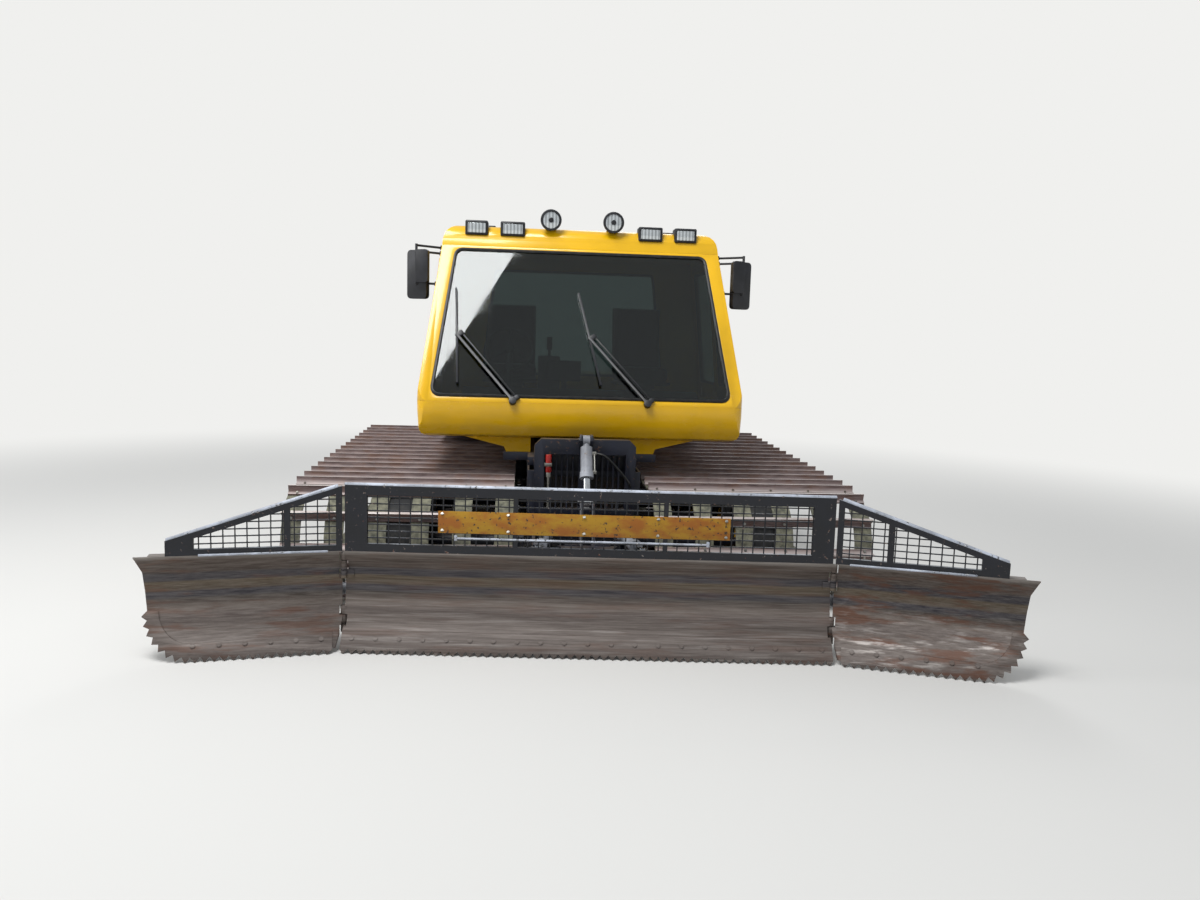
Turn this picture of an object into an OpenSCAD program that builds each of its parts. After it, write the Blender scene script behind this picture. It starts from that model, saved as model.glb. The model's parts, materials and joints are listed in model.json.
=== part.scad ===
// Tracked snow grooming machine: cab over two wide cleated tracks, a front blade with
// folding wings and guards, and a rear tiller on a lift frame.
// X runs across the machine, -Y is the front, +Z is up, ground level is z = 0.
// Stations along Y are measured from the front idler axle, then the whole machine is
// shifted so that the middle of its length stands on the origin.

/* [Tracks] */
// Width over both tracks
track_span = 4100; // [3900:10:4300]
// Width of one track
track_w = 1556; // [1500:2:1600]
// Distance from one cleat to the next along the belt
cleat_pitch = 222; // [200:1:260]
// Height of a cleat above the belt
cleat_h = 60; // [50:1:70]
// Width of a cleat's foot along the belt
cleat_foot = 70; // [50:2:90]
// Thickness of a rubber belt
belt_t = 14; // [10:1:18]
// Width of one rubber belt
belt_w = 126; // [100:2:140]
// Belts across one track
belt_count = 6; // [5:1:7]

/* [Wheels] */
// Radius of an idler's tyre
tyre_r = 350; // [330:5:360]
// Radius of a road wheel's tyre
road_r = 295; // [280:5:310]
// Width of a tyre
tyre_w = 240; // [200:5:260]
// Distance from the idler axle to the drive sprocket axle
wheelbase = 3250; // [3150:10:3400]
// Radius at which the belt runs on the drive sprocket
sprocket_r = 380; // [360:5:390]
// Height of the sprocket axle above the road wheel axles
sprocket_rise = 60; // [40:5:90]
// Radius of the axle tubes
axle_r = 40; // [30:1:50]

/* [Hull] */
// Half width of the hull between the tracks
tub_half = 400; // [380:5:420]
// Plate thickness of the hull
tub_wall = 12; // [8:1:20]
// Height of the hull's underside
tub_floor_z = 300; // [260:5:340]
// Height of the hull's top edge
tub_top_z = 960; // [955:5:980]

/* [Cab] */
// Half width of the cab at its waist
cab_half = 1232; // [1180:2:1260]
// Half width of the cab at the top of its side windows
cab_top_half = 1105; // [1060:5:1150]
// Height of the cab's underside
cab_floor_z = 1135; // [1120:5:1160]
// Height of the waist line
waist_z = 1400; // [1380:5:1430]
// Height of the top of the side windows
eave_z = 2600; // [2560:5:2640]
// Height of the roof
roof_z = 2765; // [2740:5:2800]
// Station of the nose
nose_y = 270; // [240:5:300]
// Station of the cab's back wall
cab_back_y = 1930; // [1880:5:1980]
// Thickness of the cab's walls, roof and doors
cab_wall = 45; // [35:1:55]
// Width of a door
door_w = 800; // [740:5:820]
// Glass thickness
glass_t = 6; // [4:1:10]

/* [Blade] */
// Half width of the centre blade
blade_half = 1463; // [1400:1:1480]
// Station of the centre blade's cutting edge
blade_y = -1320; // [-1340:5:-1300]
// Height of the blade plate
blade_h = 590; // [580:5:620]
// Height of the top of the guard above ground
guard_z = 988; // [960:1:1020]
// Plate thickness of the blade
blade_t = 12; // [8:1:16]
// Length of a wing
wing_len = 1139; // [1080:1:1160]
// Fold of the wings ahead of the centre blade
wing_fold = 15; // [5:1:20]
// Swing of the parked blade about its upright pin
blade_swivel = -4; // [-8:1:8]
// Distance between the teeth of the cutting edge
tooth_pitch = 50; // [45:1:80]
// Depth of the teeth
tooth_h = 26; // [20:1:40]
// Spacing of the guard mesh across
mesh_x = 65; // [55:1:90]
// Spacing of the guard mesh upwards
mesh_z = 41; // [38:1:90]
// Width of the guard mesh's bars
mesh_bar = 7; // [5:1:10]

/* [Tiller] */
// Width of the tiller
tiller_w = 4140; // [3900:10:4300]
// Radius of the tiller drum
drum_r = 95; // [80:5:110]
// Radius to the tips of the tines
tine_r = 205; // [190:5:220]
// Station of the tiller drum
tiller_y = 4560; // [4480:10:4700]
// Rows of tines along the drum
tine_rows = 34; // [24:2:44]

/* [Hidden] */
$fn = 48;

// Driving line of the track
axle_z = cleat_h + belt_t + tyre_r;
sprocket_z = axle_z + sprocket_rise;
track_x0 = track_span / 2 - track_w;
wheel_x = track_x0 + track_w / 2;
belt_gap = (track_w - belt_count * belt_w) / (belt_count - 1);
// Road wheels, spread between the idler and the sprocket
wheel_clear = 20;
road_z = cleat_h + belt_t + road_r;
road_y0 = tyre_r + road_r + wheel_clear;
road_y1 = wheelbase - sprocket_r - road_r - wheel_clear;
road_count = floor((road_y1 - road_y0) / (2 * road_r + wheel_clear / 2)) + 1;
road_gap = (road_y1 - road_y0) / (road_count - 1);

// Blade profile from the cutting edge up, as [distance behind the edge, height]
blade_face = [[0, 0], [62, 90], [112, 185], [146, 285], [160, 385], [152, 485], [122, 570], [108, blade_h]];
function face_at(z) = lookup(z, [for (p = blade_face) [p[1], p[0]]]);
edge_h = 120;
edge_t = 14;

// Wing hinge and the places that follow its fold and the blade's swing
hinge_gap = 8;
wing_pivot_back = 140;
wing_pivot_x = blade_half + hinge_gap;
wing_pivot_y = blade_y + wing_pivot_back;
swivel_y = -880;
function folded(p) = [wing_pivot_x + p[0] * cos(wing_fold) + p[1] * sin(wing_fold),
  wing_pivot_y - p[0] * sin(wing_fold) + p[1] * cos(wing_fold), p[2]];
function port(p) = [-p[0], p[1], p[2]];
function swung(p) = [p[0] * cos(blade_swivel) - (p[1] - swivel_y) * sin(blade_swivel),
  swivel_y + p[0] * sin(blade_swivel) + (p[1] - swivel_y) * cos(blade_swivel), p[2]];

// Lower outer corner of a wing, a quarter round with teeth: its centre and radius
wing_corner = 270;
tip_hook = 32;
corner_x = wing_len - tip_hook - wing_corner;
corner_teeth = 8;
function corner_tip(i, r) = let (a = -90 + 90 * i / corner_teeth)
  [corner_x + r * cos(a), wing_corner + r * sin(a)];

// The machine's middle: half way between its ends and between the wings' tips
wing_end = folded([wing_len, face_at(blade_h) + blade_t - wing_pivot_back, 0]);
shift_x = -(swung(wing_end)[0] + swung(port(wing_end))[0]) / 2;
tooth_ends = [for (i = [0:corner_teeth - 1]) let (t = corner_tip(i + 0.5, wing_corner))
  folded([t[0], face_at(t[1]) - edge_t - wing_pivot_back, 0])];
front_end_y = min([for (t = tooth_ends) each [swung(t)[1], swung(port(t))[1]]]);
comb_len = 670;
rear_end_y = tiller_y + comb_len;
shift_y = -(front_end_y + rear_end_y) / 2;

cab_yellow = [0.96, 0.72, 0.03];
guard_navy = [0.06, 0.08, 0.14];
frame_navy = [0.08, 0.11, 0.22];
rust_steel = [0.33, 0.26, 0.22];
blade_steel = [0.36, 0.33, 0.31];
rubber_black = [0.05, 0.05, 0.05];
belt_grey = [0.30, 0.31, 0.28];
chrome_grey = [0.75, 0.76, 0.78];
dark_glass = [0.15, 0.20, 0.22];
trim_black = [0.04, 0.04, 0.05];

module machine() translate([shift_x, shift_y, 0]) children();
module swung_blade() translate([0, swivel_y, 0]) rotate([0, 0, blade_swivel])
  translate([0, -swivel_y, 0]) children();
module both_sides() {
  children();
  mirror([1, 0, 0]) children();
}
// Lays an outline drawn as [y, z] flat across X, centred on x
module across(x, w) translate([x - w / 2, 0, 0])
  rotate([90, 0, 90]) linear_extrude(height = w) children();
// Lays an outline drawn as [x, z] along Y from y, t deep
module along(y, t) translate([0, y + t, 0])
  rotate([90, 0, 0]) linear_extrude(height = t) children();
module block(lo, hi) translate(lo) cube([hi[0] - lo[0], hi[1] - lo[1], hi[2] - lo[2]]);
module tube_x(x0, x1, y, z, r) translate([x0, y, z]) rotate([0, 90, 0]) cylinder(r = r, h = x1 - x0);

// Points of an arc, from angle a0 to a1 in n steps
function arc(c, r, a0, a1, n) = [for (i = [0:n])
  let (a = a0 + (a1 - a0) * i / n) [c[0] + r * cos(a), c[1] + r * sin(a)]];
function flip(pts) = [for (i = [len(pts) - 1:-1:0]) [-pts[i][0], pts[i][1]]];
function mirrored(half) = concat(half, flip(half));

// Track loop: an open belt around two circles of radii r0 (idler) and r1 (sprocket)
function belt_tilt(d, rise, r0, r1) = atan2(rise, d) + asin((r1 - r0) / norm([d, rise]));
function belt_dip(d, rise, r0, r1) = atan2(rise, d) - asin((r1 - r0) / norm([d, rise]));
top_tilt = belt_tilt(wheelbase, sprocket_rise, tyre_r, sprocket_r);
ground_y1 = road_y1;
ramp_tilt = belt_dip(wheelbase - ground_y1, sprocket_z - road_z, road_r, sprocket_r);
// The loop's path at distance d outside the belt's inner face: idler arc, ground, ramp, sprocket arc
function loop(d, n) = concat(
  arc([0, axle_z], tyre_r + d, 90 + top_tilt, 270, n),
  [[ground_y1, axle_z - tyre_r - d]],
  arc([wheelbase, sprocket_z], sprocket_r + d, 270 + ramp_tilt, 450 + top_tilt, n)
);
// Lengths of the loop's stretches along the belt's outer face
loop_r0 = tyre_r + belt_t;
loop_r1 = sprocket_r + belt_t;
stretch = [
  (180 - top_tilt) * PI / 180 * loop_r0,
  ground_y1,
  norm([wheelbase, sprocket_z] + loop_r1 * [cos(270 + ramp_tilt), sin(270 + ramp_tilt)]
       - [ground_y1, axle_z - loop_r0]),
  (180 + top_tilt - ramp_tilt) * PI / 180 * loop_r1,
  norm([wheelbase, sprocket_z] + loop_r1 * [cos(90 + top_tilt), sin(90 + top_tilt)]
       - [0, axle_z] - loop_r0 * [cos(90 + top_tilt), sin(90 + top_tilt)])
];
loop_len = stretch[0] + stretch[1] + stretch[2] + stretch[3] + stretch[4];
cleat_count = round(loop_len / cleat_pitch);
// Place and heading of the cleat at distance s along the loop: [y, z, angle of the outward normal]
function on_loop(s) =
  s < stretch[0] ? let (a = 90 + top_tilt + s / loop_r0 * 180 / PI)
    [loop_r0 * cos(a), axle_z + loop_r0 * sin(a), a] :
  s < stretch[0] + stretch[1] ? [s - stretch[0], axle_z - loop_r0, 270] :
  s < stretch[0] + stretch[1] + stretch[2] ? let (u = s - stretch[0] - stretch[1])
    [ground_y1 + u * cos(ramp_tilt), axle_z - loop_r0 + u * sin(ramp_tilt), 270 + ramp_tilt] :
  s < loop_len - stretch[4] ? let (a = 270 + ramp_tilt
      + (s - stretch[0] - stretch[1] - stretch[2]) / loop_r1 * 180 / PI)
    [wheelbase + loop_r1 * cos(a), sprocket_z + loop_r1 * sin(a), a] :
  let (u = loop_len - s)
    [loop_r0 * cos(90 + top_tilt) + u * cos(top_tilt),
     axle_z + loop_r0 * sin(90 + top_tilt) + u * sin(top_tilt), 90 + top_tilt];

cleat_sink = 3;
cleat_fin = 9;
module cleat_outline() polygon([
  [-cleat_sink, -cleat_foot / 2], [8, -cleat_foot / 2], [16, -cleat_fin], [cleat_h, -cleat_fin * 0.6],
  [cleat_h, cleat_fin * 0.6], [16, cleat_fin], [8, cleat_foot / 2], [-cleat_sink, cleat_foot / 2]]);

module track() {
  for (i = [0:belt_count - 1])
    across(track_x0 + belt_w / 2 + i * (belt_w + belt_gap), belt_w) difference() {
      polygon(loop(belt_t, 12));
      polygon(loop(0, 12));
    }
  across(wheel_x, track_w - 2) for (k = [0:cleat_count - 1])
    let (p = on_loop((k + 0.5) * loop_len / cleat_count))
      translate([p[0], p[1]]) rotate(p[2]) cleat_outline();
}
module right_track() color(rust_steel) machine() track();
module left_track() color(rust_steel) machine() mirror([1, 0, 0]) track();

// Wheels
hub_r = 78;
rim_r = 205;
rim_gap = 0.3;
axle_gap = 0.3;
// Rows of axles: station, height, tyre radius, side of the axle on which its arm is hinged
axle_rows = concat([[0, axle_z, tyre_r, 1]],
  [for (i = [0:road_count - 1]) [road_y0 + i * road_gap, road_z, road_r, -1]]);
module at_axle(row) translate([0, row[0], row[1]]) children();
module tyre(r) let (side = r - rim_r) rotate_extrude() polygon([
  [rim_r + rim_gap, -tyre_w * 0.36], [rim_r + side * 0.4, -tyre_w / 2], [r - side * 0.34, -tyre_w / 2],
  [r - side * 0.05, -tyre_w * 0.40], [r - 1, -tyre_w * 0.2], [r - 1, tyre_w * 0.2],
  [r - side * 0.05, tyre_w * 0.40], [r - side * 0.34, tyre_w / 2], [rim_r + side * 0.4, tyre_w / 2],
  [rim_r + rim_gap, tyre_w * 0.36]]);
module rim() difference() {
  rotate_extrude() polygon([
    [axle_r + axle_gap, -60], [hub_r, -60], [hub_r, 20], [rim_r - 40, 45], [rim_r - 12, -tyre_w * 0.34],
    [rim_r, -tyre_w * 0.36], [rim_r, tyre_w * 0.36], [rim_r - 12, tyre_w * 0.36],
    [rim_r - 30, 62], [hub_r, 38], [hub_r, 75], [axle_r + axle_gap, 75]]);
  for (a = [0:60:300]) rotate(a) translate([130, 0, -80]) cylinder(r = 20, h = 240);
}
module road_tyres() color(rubber_black) machine() both_sides()
  for (row = axle_rows) at_axle(row) translate([wheel_x, 0, 0]) rotate([0, 90, 0]) tyre(row[2]);
module road_rims() color(cab_yellow) machine() both_sides()
  for (row = axle_rows) at_axle(row) translate([wheel_x, 0, 0]) rotate([0, 90, 0]) rim();

// Swing arms with their axle tubes, hinged to the hull's side ahead of or behind the axle
arm_len = 230;
arm_rise = 90;
arm_t = 34;
arm_x0 = tub_half + 16;
arm_boss_r = 62;
arm_end_r = 56;
arm_outline = [[arm_len + 10, arm_rise - 58], [-20, -52], [-10, 56], [arm_len - 25, arm_rise + 56]];
module axle_arm(side) {
  tube_x(arm_x0, wheel_x + 76, 0, 0, axle_r);
  tube_x(tub_half, arm_x0 + arm_t, side * arm_len, arm_rise, arm_boss_r);
  tube_x(arm_x0, arm_x0 + arm_t + 12, 0, 0, arm_end_r);
  across(arm_x0 + arm_t / 2, arm_t) polygon([for (p = arm_outline) [side * p[0], p[1]]]);
}
// Final drive: flange, planet case and hub, each as [start, end, radius]
drive_steps = [[tub_half, tub_half + 60, 190], [tub_half + 60, wheel_x - 120, 120],
  [wheel_x - 120, wheel_x + 90, 70]];
module drive_axle() for (d = drive_steps) tube_x(d[0], d[1], 0, 0, d[2]);
module axles() color(frame_navy) machine() both_sides() {
  for (row = axle_rows) at_axle(row) axle_arm(row[3]);
  translate([0, wheelbase, sprocket_z]) drive_axle();
}

// Drive sprocket: toothed drum between the middle belts and two belt carriers
sprocket_teeth = 11;
sprocket_core = 290;
carrier = [[0, 50], [250, 50], [250, 66], [sprocket_r - 4, 66], [sprocket_r - 4, 126], [sprocket_r - 34, 126],
  [sprocket_r - 34, 80], [120, 80], [110, 96], [0, 96]];
module sprocket() rotate([0, 90, 0]) difference() {
  union() {
    translate([0, 0, -58]) linear_extrude(height = 116) {
      circle(r = sprocket_core);
      for (i = [0:sprocket_teeth - 1]) rotate(i * 360 / sprocket_teeth)
        polygon([[sprocket_core - 40, -42], [sprocket_r - 2, -24],
                 [sprocket_r - 2, 24], [sprocket_core - 40, 42]]);
    }
    rotate_extrude() polygon(carrier);
    mirror([0, 0, 1]) rotate_extrude() polygon(carrier);
  }
  translate([0, 0, -200]) cylinder(r = 70 + axle_gap, h = 400);
  for (i = [0:5]) rotate(i * 60) translate([180, 0, -200]) cylinder(r = 44, h = 400);
}
module sprockets() color(rubber_black) machine() both_sides()
  translate([wheel_x, wheelbase, sprocket_z]) sprocket();

// Hull: an open-topped tub with a raked bow and stern
tub_front_y = -150;
tub_back_y = 3620;
tub_knee_z = 470;
bow_y = 130;
stern_y = tub_back_y - 260;
cooler_half = 320;
cooler_z0 = 700;
function tub_side(in, top) = [
  [tub_front_y + in, tub_knee_z + in * 0.6], [bow_y + in * 0.4, tub_floor_z + in],
  [stern_y - in * 0.4, tub_floor_z + in], [tub_back_y - in, tub_knee_z + in * 0.6],
  [tub_back_y - in, top], [tub_front_y + in, top]];
module tub() color(frame_navy) machine() {
  difference() {
    across(0, 2 * tub_half) polygon(tub_side(0, tub_top_z));
    across(0, 2 * (tub_half - tub_wall)) polygon(tub_side(tub_wall, tub_top_z + 50));
    block([-cooler_half, tub_front_y - 5, cooler_z0], [cooler_half, tub_front_y + 40, tub_top_z - 40]);
  }
  lift_lugs();
  rear_brackets();
}

// Front guard: a frame with upright bars and a centre post ahead of the cooler
guard_half = 355;
guard_depth = 70;
fg_y = tub_front_y - guard_depth;
fg_z0 = 640;
fg_z1 = 1190;
fg_corner = 45;
fg_opening = [285, cooler_z0, 1085];
post_half = 45;
slat_gap = 39;
slat_t = 10;
tower_in = 26;
tower_t = 20;
module front_guard() color(guard_navy) machine() {
  along(fg_y, guard_depth) difference() {
    polygon([[-guard_half, fg_z0], [guard_half, fg_z0], [guard_half, fg_z1 - fg_corner],
             [guard_half - fg_corner, fg_z1], [fg_corner - guard_half, fg_z1], [-guard_half, fg_z1 - fg_corner]]);
    translate([-fg_opening[0], fg_opening[1]]) square([2 * fg_opening[0], fg_opening[2] - fg_opening[1]]);
  }
  block([-post_half, fg_y + 8, fg_opening[1] - 5], [post_half, fg_y + 30, fg_opening[2] + 5]);
  for (s = [-1, 1]) for (x = [post_half + slat_gap:slat_gap:fg_opening[0] - slat_gap / 2])
    translate([s * x - slat_t / 2, fg_y + 25, fg_opening[1] - 5])
      cube([slat_t, 25, fg_opening[2] - fg_opening[1] + 10]);
  for (s = [-1, 1]) across(s * (tower_in + tower_t / 2), tower_t) polygon([
    [fg_y + 1, lift_base[1] - 60], [fg_y + 1, fg_z1 - 5], [lift_base[0] + 20, lift_base[1] + 40],
    [lift_base[0] - 20, lift_base[1] + 36], [lift_base[0] - 36, lift_base[1]],
    [lift_base[0] - 20, lift_base[1] - 34]]);
  tube_x(-tower_in - tower_t - 8, tower_in + tower_t + 8, lift_base[0], lift_base[1], pin_r);
}
// Engine and gearbox as one block, and the cooler's finned core with its side tanks
cooler_y = tub_front_y + tub_wall;
fin_pitch = 58;
engine_box = [[-290, 2105, tub_floor_z + tub_wall], [290, 3080, 1290]];
module cooler_core() {
  difference() {
    block([-305, cooler_y + 60, tub_knee_z + 190], [305, cooler_y + 130, tub_top_z - 50]);
    for (x = [-290:fin_pitch:250])
      block([x, cooler_y + 55, tub_knee_z + 210], [x + 40, cooler_y + 75, tub_top_z - 70]);
  }
  for (s = [-1, 1]) translate([s * 317.5, cooler_y + 65, tub_knee_z + 170])
    translate([-12.5, -65, 0]) cube([25, 130, tub_top_z - tub_knee_z - 210]);
}
module engine_block() color([0.30, 0.20, 0.16]) machine() {
  cooler_core();
  block(engine_box[0], engine_box[1]);
}

// Rams: a barrel with an eye at its foot and a rod with an eye at its end
pin_r = 18;
eye_gap = 0.3;
pin_play = 1;
eye_r = 36;
eye_w = 48;
ram_foot = 70;
neck_len = 54;
cheek_t = 20;
cheek_in = eye_w / 2 + 6;
function span(p, q) = norm(q - p);
module aim(p, q) translate(p)
  rotate([0, acos((q[2] - p[2]) / span(p, q)), atan2(q[1] - p[1], q[0] - p[0])]) children();
module eye(r, w, upright) rotate(upright ? [0, 90, 0] : [90, 0, 0]) cylinder(r = r, h = w, center = true);
module ram_barrel(p, q, closed, radii, upright) aim(p, q) difference() {
  union() {
    eye(eye_r, eye_w, upright);
    cylinder(r = eye_w / 2 - 3, h = neck_len + 5);
    translate([0, 0, neck_len]) cylinder(r = radii[0], h = closed - 2 * eye_r - neck_len);
    translate([0, 0, closed - 2 * eye_r - 26]) cylinder(r = radii[0] + 6, h = 42);
  }
  eye(pin_r + eye_gap, eye_w + 2, upright);
  translate([0, 0, ram_foot]) cylinder(r = radii[1] + 0.5, h = closed);
}
// The rod's end carries its pin, which stops just short of the cheeks beside it
module ram_rod(p, q, closed, rod_r, upright) aim(p, q) {
  translate([0, 0, span(p, q) - closed + ram_foot + 8])
    cylinder(r = rod_r, h = closed - ram_foot - 8 - eye_r * 0.8);
  translate([0, 0, span(p, q)]) {
    eye(eye_r, eye_w, upright);
    eye(pin_r, 2 * cheek_in - 2 * pin_play, upright);
  }
}

// Pins of the linkages, as [x, y, z], or as [y, z] on the centre plane
lift_hinge = [-240, 420];
lift_base = [-270, 1190];
lift_pin = [-490, 790];
swivel_z0 = 230;
swivel_z1 = 500;
angle_base = [255, -430, 560];
angle_pin = [330, -912, 560];
wing_ram_base = [blade_half - 499, blade_y + 290, 330];
wing_lug = [150, 125, wing_ram_base[2]];
lift_closed = 335;
angle_closed = 414;
wing_closed = 636;
rear_hinge = [3700, 450];
rear_base = [3680, 930];
rear_pin = [4110, 560];
rear_ram_x = 180;
rear_closed = 375;
// Outer radius of each pair of barrels, then of its rod
lift_ram_r = [41, 25];
angle_ram_r = [38, 20];
wing_ram_r = [36, 20];
rear_ram_r = [42, 22];
function centred(p) = [0, p[0], p[1]];
function beside(x, p) = [x, p[0], p[1]];

module lift_barrel() color(chrome_grey) machine()
  ram_barrel(centred(lift_base), centred(lift_pin), lift_closed, lift_ram_r, false);
module lift_rod() color(chrome_grey) machine()
  ram_rod(centred(lift_base), centred(lift_pin), lift_closed, lift_ram_r[1], false);
module right_angle_barrel() color(chrome_grey) machine()
  ram_barrel(angle_base, swung(angle_pin), angle_closed, angle_ram_r, true);
module right_angle_rod() color(chrome_grey) machine()
  ram_rod(angle_base, swung(angle_pin), angle_closed, angle_ram_r[1], true);
module left_angle_barrel() color(chrome_grey) machine()
  ram_barrel(port(angle_base), swung(port(angle_pin)), angle_closed, angle_ram_r, true);
module left_angle_rod() color(chrome_grey) machine()
  ram_rod(port(angle_base), swung(port(angle_pin)), angle_closed, angle_ram_r[1], true);
module right_wing_barrel() color(chrome_grey) machine()
  ram_barrel(swung(wing_ram_base), swung(folded(wing_lug)), wing_closed, wing_ram_r, true);
module right_wing_rod() color(chrome_grey) machine()
  ram_rod(swung(wing_ram_base), swung(folded(wing_lug)), wing_closed, wing_ram_r[1], true);
module left_wing_barrel() color(chrome_grey) machine()
  ram_barrel(swung(port(wing_ram_base)), swung(port(folded(wing_lug))), wing_closed, wing_ram_r, true);
module left_wing_rod() color(chrome_grey) machine()
  ram_rod(swung(port(wing_ram_base)), swung(port(folded(wing_lug))), wing_closed, wing_ram_r[1], true);
module rear_barrels() color(chrome_grey) machine() for (x = [-rear_ram_x, rear_ram_x])
  ram_barrel(beside(x, rear_base), beside(x, rear_pin), rear_closed, rear_ram_r, false);
module rear_rods() color(chrome_grey) machine() for (x = [-rear_ram_x, rear_ram_x])
  ram_rod(beside(x, rear_base), beside(x, rear_pin), rear_closed, rear_ram_r[1], false);

// Push frame: two arms from the hull to the upright swivel pin, and a tower for the lift ram
arm_x = 290;
hinge_pin_r = 24;
beam = [-720, -600, 300, 455];
swivel_r = 40;
plate_t = 28;
module cheeks_x(x, pts) for (s = [-1, 1]) across(x + s * (cheek_in + cheek_t / 2), cheek_t) polygon(pts);
// Pin heads outside a pair of cheeks, with nothing between them
module pin_heads(x, y, z) for (s = [-1, 1]) let (x0 = x + s * (cheek_in + cheek_t + 5))
  tube_x(x0 - 9, x0 + 9, y, z, pin_r + 6);
module lift_lugs() for (s = [-1, 1]) {
  for (k = [-1, 1]) across(s * arm_x + k * 58, 24)
    polygon([[tub_front_y + 4, 350], [tub_front_y + 4, 500], [lift_hinge[0] - 40, lift_hinge[1] + 42],
             [lift_hinge[0] - 50, lift_hinge[1] - 10], [lift_hinge[0] - 30, lift_hinge[1] - 40]]);
  tube_x(s * arm_x - 70, s * arm_x + 70, lift_hinge[0], lift_hinge[1], hinge_pin_r);
}
module angle_post() {
  translate([0, 0, angle_base[2] - cheek_in - cheek_t]) cylinder(r = 46, h = cheek_t);
  translate([0, 0, angle_base[2] - cheek_in - cheek_t / 2]) cylinder(r = pin_r, h = 2 * cheek_in + cheek_t / 2);
  translate([0, 0, 400]) cylinder(r = 30, h = angle_base[2] - cheek_in - 405);
}
module lift_tower() {
  cheeks_x(0, [[beam[0] + 30, beam[3] - 15],
    [lift_pin[0] - 52, lift_pin[1] + 14], [lift_pin[0] - 32, lift_pin[1] + 38],
    [lift_pin[0] + 30, lift_pin[1] + 38], [lift_pin[0] + 48, lift_pin[1] + 8], [beam[1] + 130, beam[3] - 15]]);
  for (s = [-1, 1]) across(s * (cheek_in + cheek_t + 50), 100) polygon([
    [beam[0] + 40, beam[3] - 5], [beam[0] + 52, beam[3] + 90],
    [beam[0] + 64, beam[3] + 90], [beam[0] + 60, beam[3] - 5]]);
  block([-cheek_in - cheek_t, beam[0] + 40, beam[3] - 15], [cheek_in + cheek_t, beam[1] + 130, beam[3] + 1]);
  pin_heads(0, lift_pin[0], lift_pin[1]);
}
module push_frame() color(frame_navy) machine() difference() {
  union() {
    for (s = [-1, 1]) {
      tube_x(s * arm_x - 40, s * arm_x + 40, lift_hinge[0], lift_hinge[1], 55);
      across(s * arm_x, 76) polygon([[lift_hinge[0], lift_hinge[1] - 45], [lift_hinge[0], lift_hinge[1] + 50],
        [beam[0] + 20, beam[3]], [beam[0] + 20, beam[2] + 5]]);
      translate([s * angle_base[0], angle_base[1], 0]) angle_post();
    }
    block([-arm_x - 38, beam[0], beam[2]], [arm_x + 38, beam[1], beam[3]]);
    for (z = [swivel_z0 - plate_t - 6, swivel_z1 + 6]) swivel_plate(z);
    block([-150, beam[0] + 20, swivel_z0 - plate_t - 6], [150, beam[0] + 80, swivel_z1 + plate_t + 6]);
    lift_tower();
    translate([0, swivel_y, swivel_z0 - 40]) cylinder(r = swivel_r, h = swivel_z1 - swivel_z0 + 80);
  }
  for (s = [-1, 1])
    tube_x(s * arm_x - 41, s * arm_x + 41, lift_hinge[0], lift_hinge[1], hinge_pin_r + eye_gap);
}
module swivel_plate(z) translate([0, 0, z]) linear_extrude(height = plate_t)
  polygon([[-200, beam[0] + 70], [200, beam[0] + 70], [70, swivel_y - 60], [-70, swivel_y - 60]]);

// Swivel head: a boss on the upright pin, a cross beam and the tilt bearing
head_y0 = swivel_y - 140;
head_y1 = swivel_y - 80;
head_half = 380;
head_z0 = 210;
head_z1 = 545;
tilt_z = 360;
tilt_r = 50;
module angle_ear() {
  block([-45, head_y1 - 10, angle_pin[2] - cheek_in - cheek_t], [45, angle_pin[1], angle_pin[2] - cheek_in]);
  translate([0, angle_pin[1], angle_pin[2] - cheek_in - cheek_t]) cylinder(r = 45, h = cheek_t);
  translate([0, angle_pin[1], angle_pin[2] - cheek_in - cheek_t - 14]) cylinder(r = pin_r + 6, h = 18);
}
module swivel_head() color(frame_navy) machine() swung_blade() difference() {
  union() {
    translate([0, swivel_y, swivel_z0]) cylinder(r = 72, h = swivel_z1 - swivel_z0);
    block([-60, head_y1 - 5, swivel_z0 + 5], [60, swivel_y, swivel_z1 - 5]);
    block([-head_half, head_y0, head_z0], [head_half, head_y1, head_z1 - 45]);
    across(0, 2 * head_half) polygon([[head_y0, head_z1 - 46], [head_y0 + 12, head_z1],
                                      [head_y1 - 12, head_z1], [head_y1, head_z1 - 46]]);
    for (s = [-1, 1]) translate([s * angle_pin[0], 0, 0]) angle_ear();
  }
  translate([0, swivel_y, swivel_z0 - 1]) cylinder(r = swivel_r + eye_gap, h = swivel_z1 - swivel_z0 + 2);
  translate([0, head_y1 + 100, tilt_z]) rotate([90, 0, 0]) cylinder(r = tilt_r + eye_gap, h = 300);
}

// Blade: a press-braked plate with a toothed edge, ribs at the back and wing knuckles
function layer(t0, t1) = concat(
  [for (p = blade_face) [p[0] + t0, p[1]]],
  [for (i = [len(blade_face) - 1:-1:0]) [blade_face[i][0] + t1, blade_face[i][1]]]);
function teeth(x0, x1, z) = let (n = round((x1 - x0) / tooth_pitch), w = (x1 - x0) / n) concat(
  [for (i = [0:n - 1]) each [[x0 + i * w, z + tooth_h], [x0 + (i + 0.5) * w, z]]], [[x1, z + tooth_h]]);
// Rib outline behind the plate, from its foot at z0, with its back standing out by depth
function rib(z0, depth) = [[face_at(z0) + blade_t - 2, z0], [face_at(385) + blade_t - 2, 385],
  [face_at(485) + blade_t - 2, 485], [face_at(blade_h - 4) + blade_t - 2, blade_h - 4],
  [face_at(blade_h - 4) + blade_t + depth * 0.8, blade_h - 4], [face_at(385) + blade_t + depth * 0.8, 385],
  [face_at(z0) + blade_t + depth * 0.6, z0]];
rib_t = 16;
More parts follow.
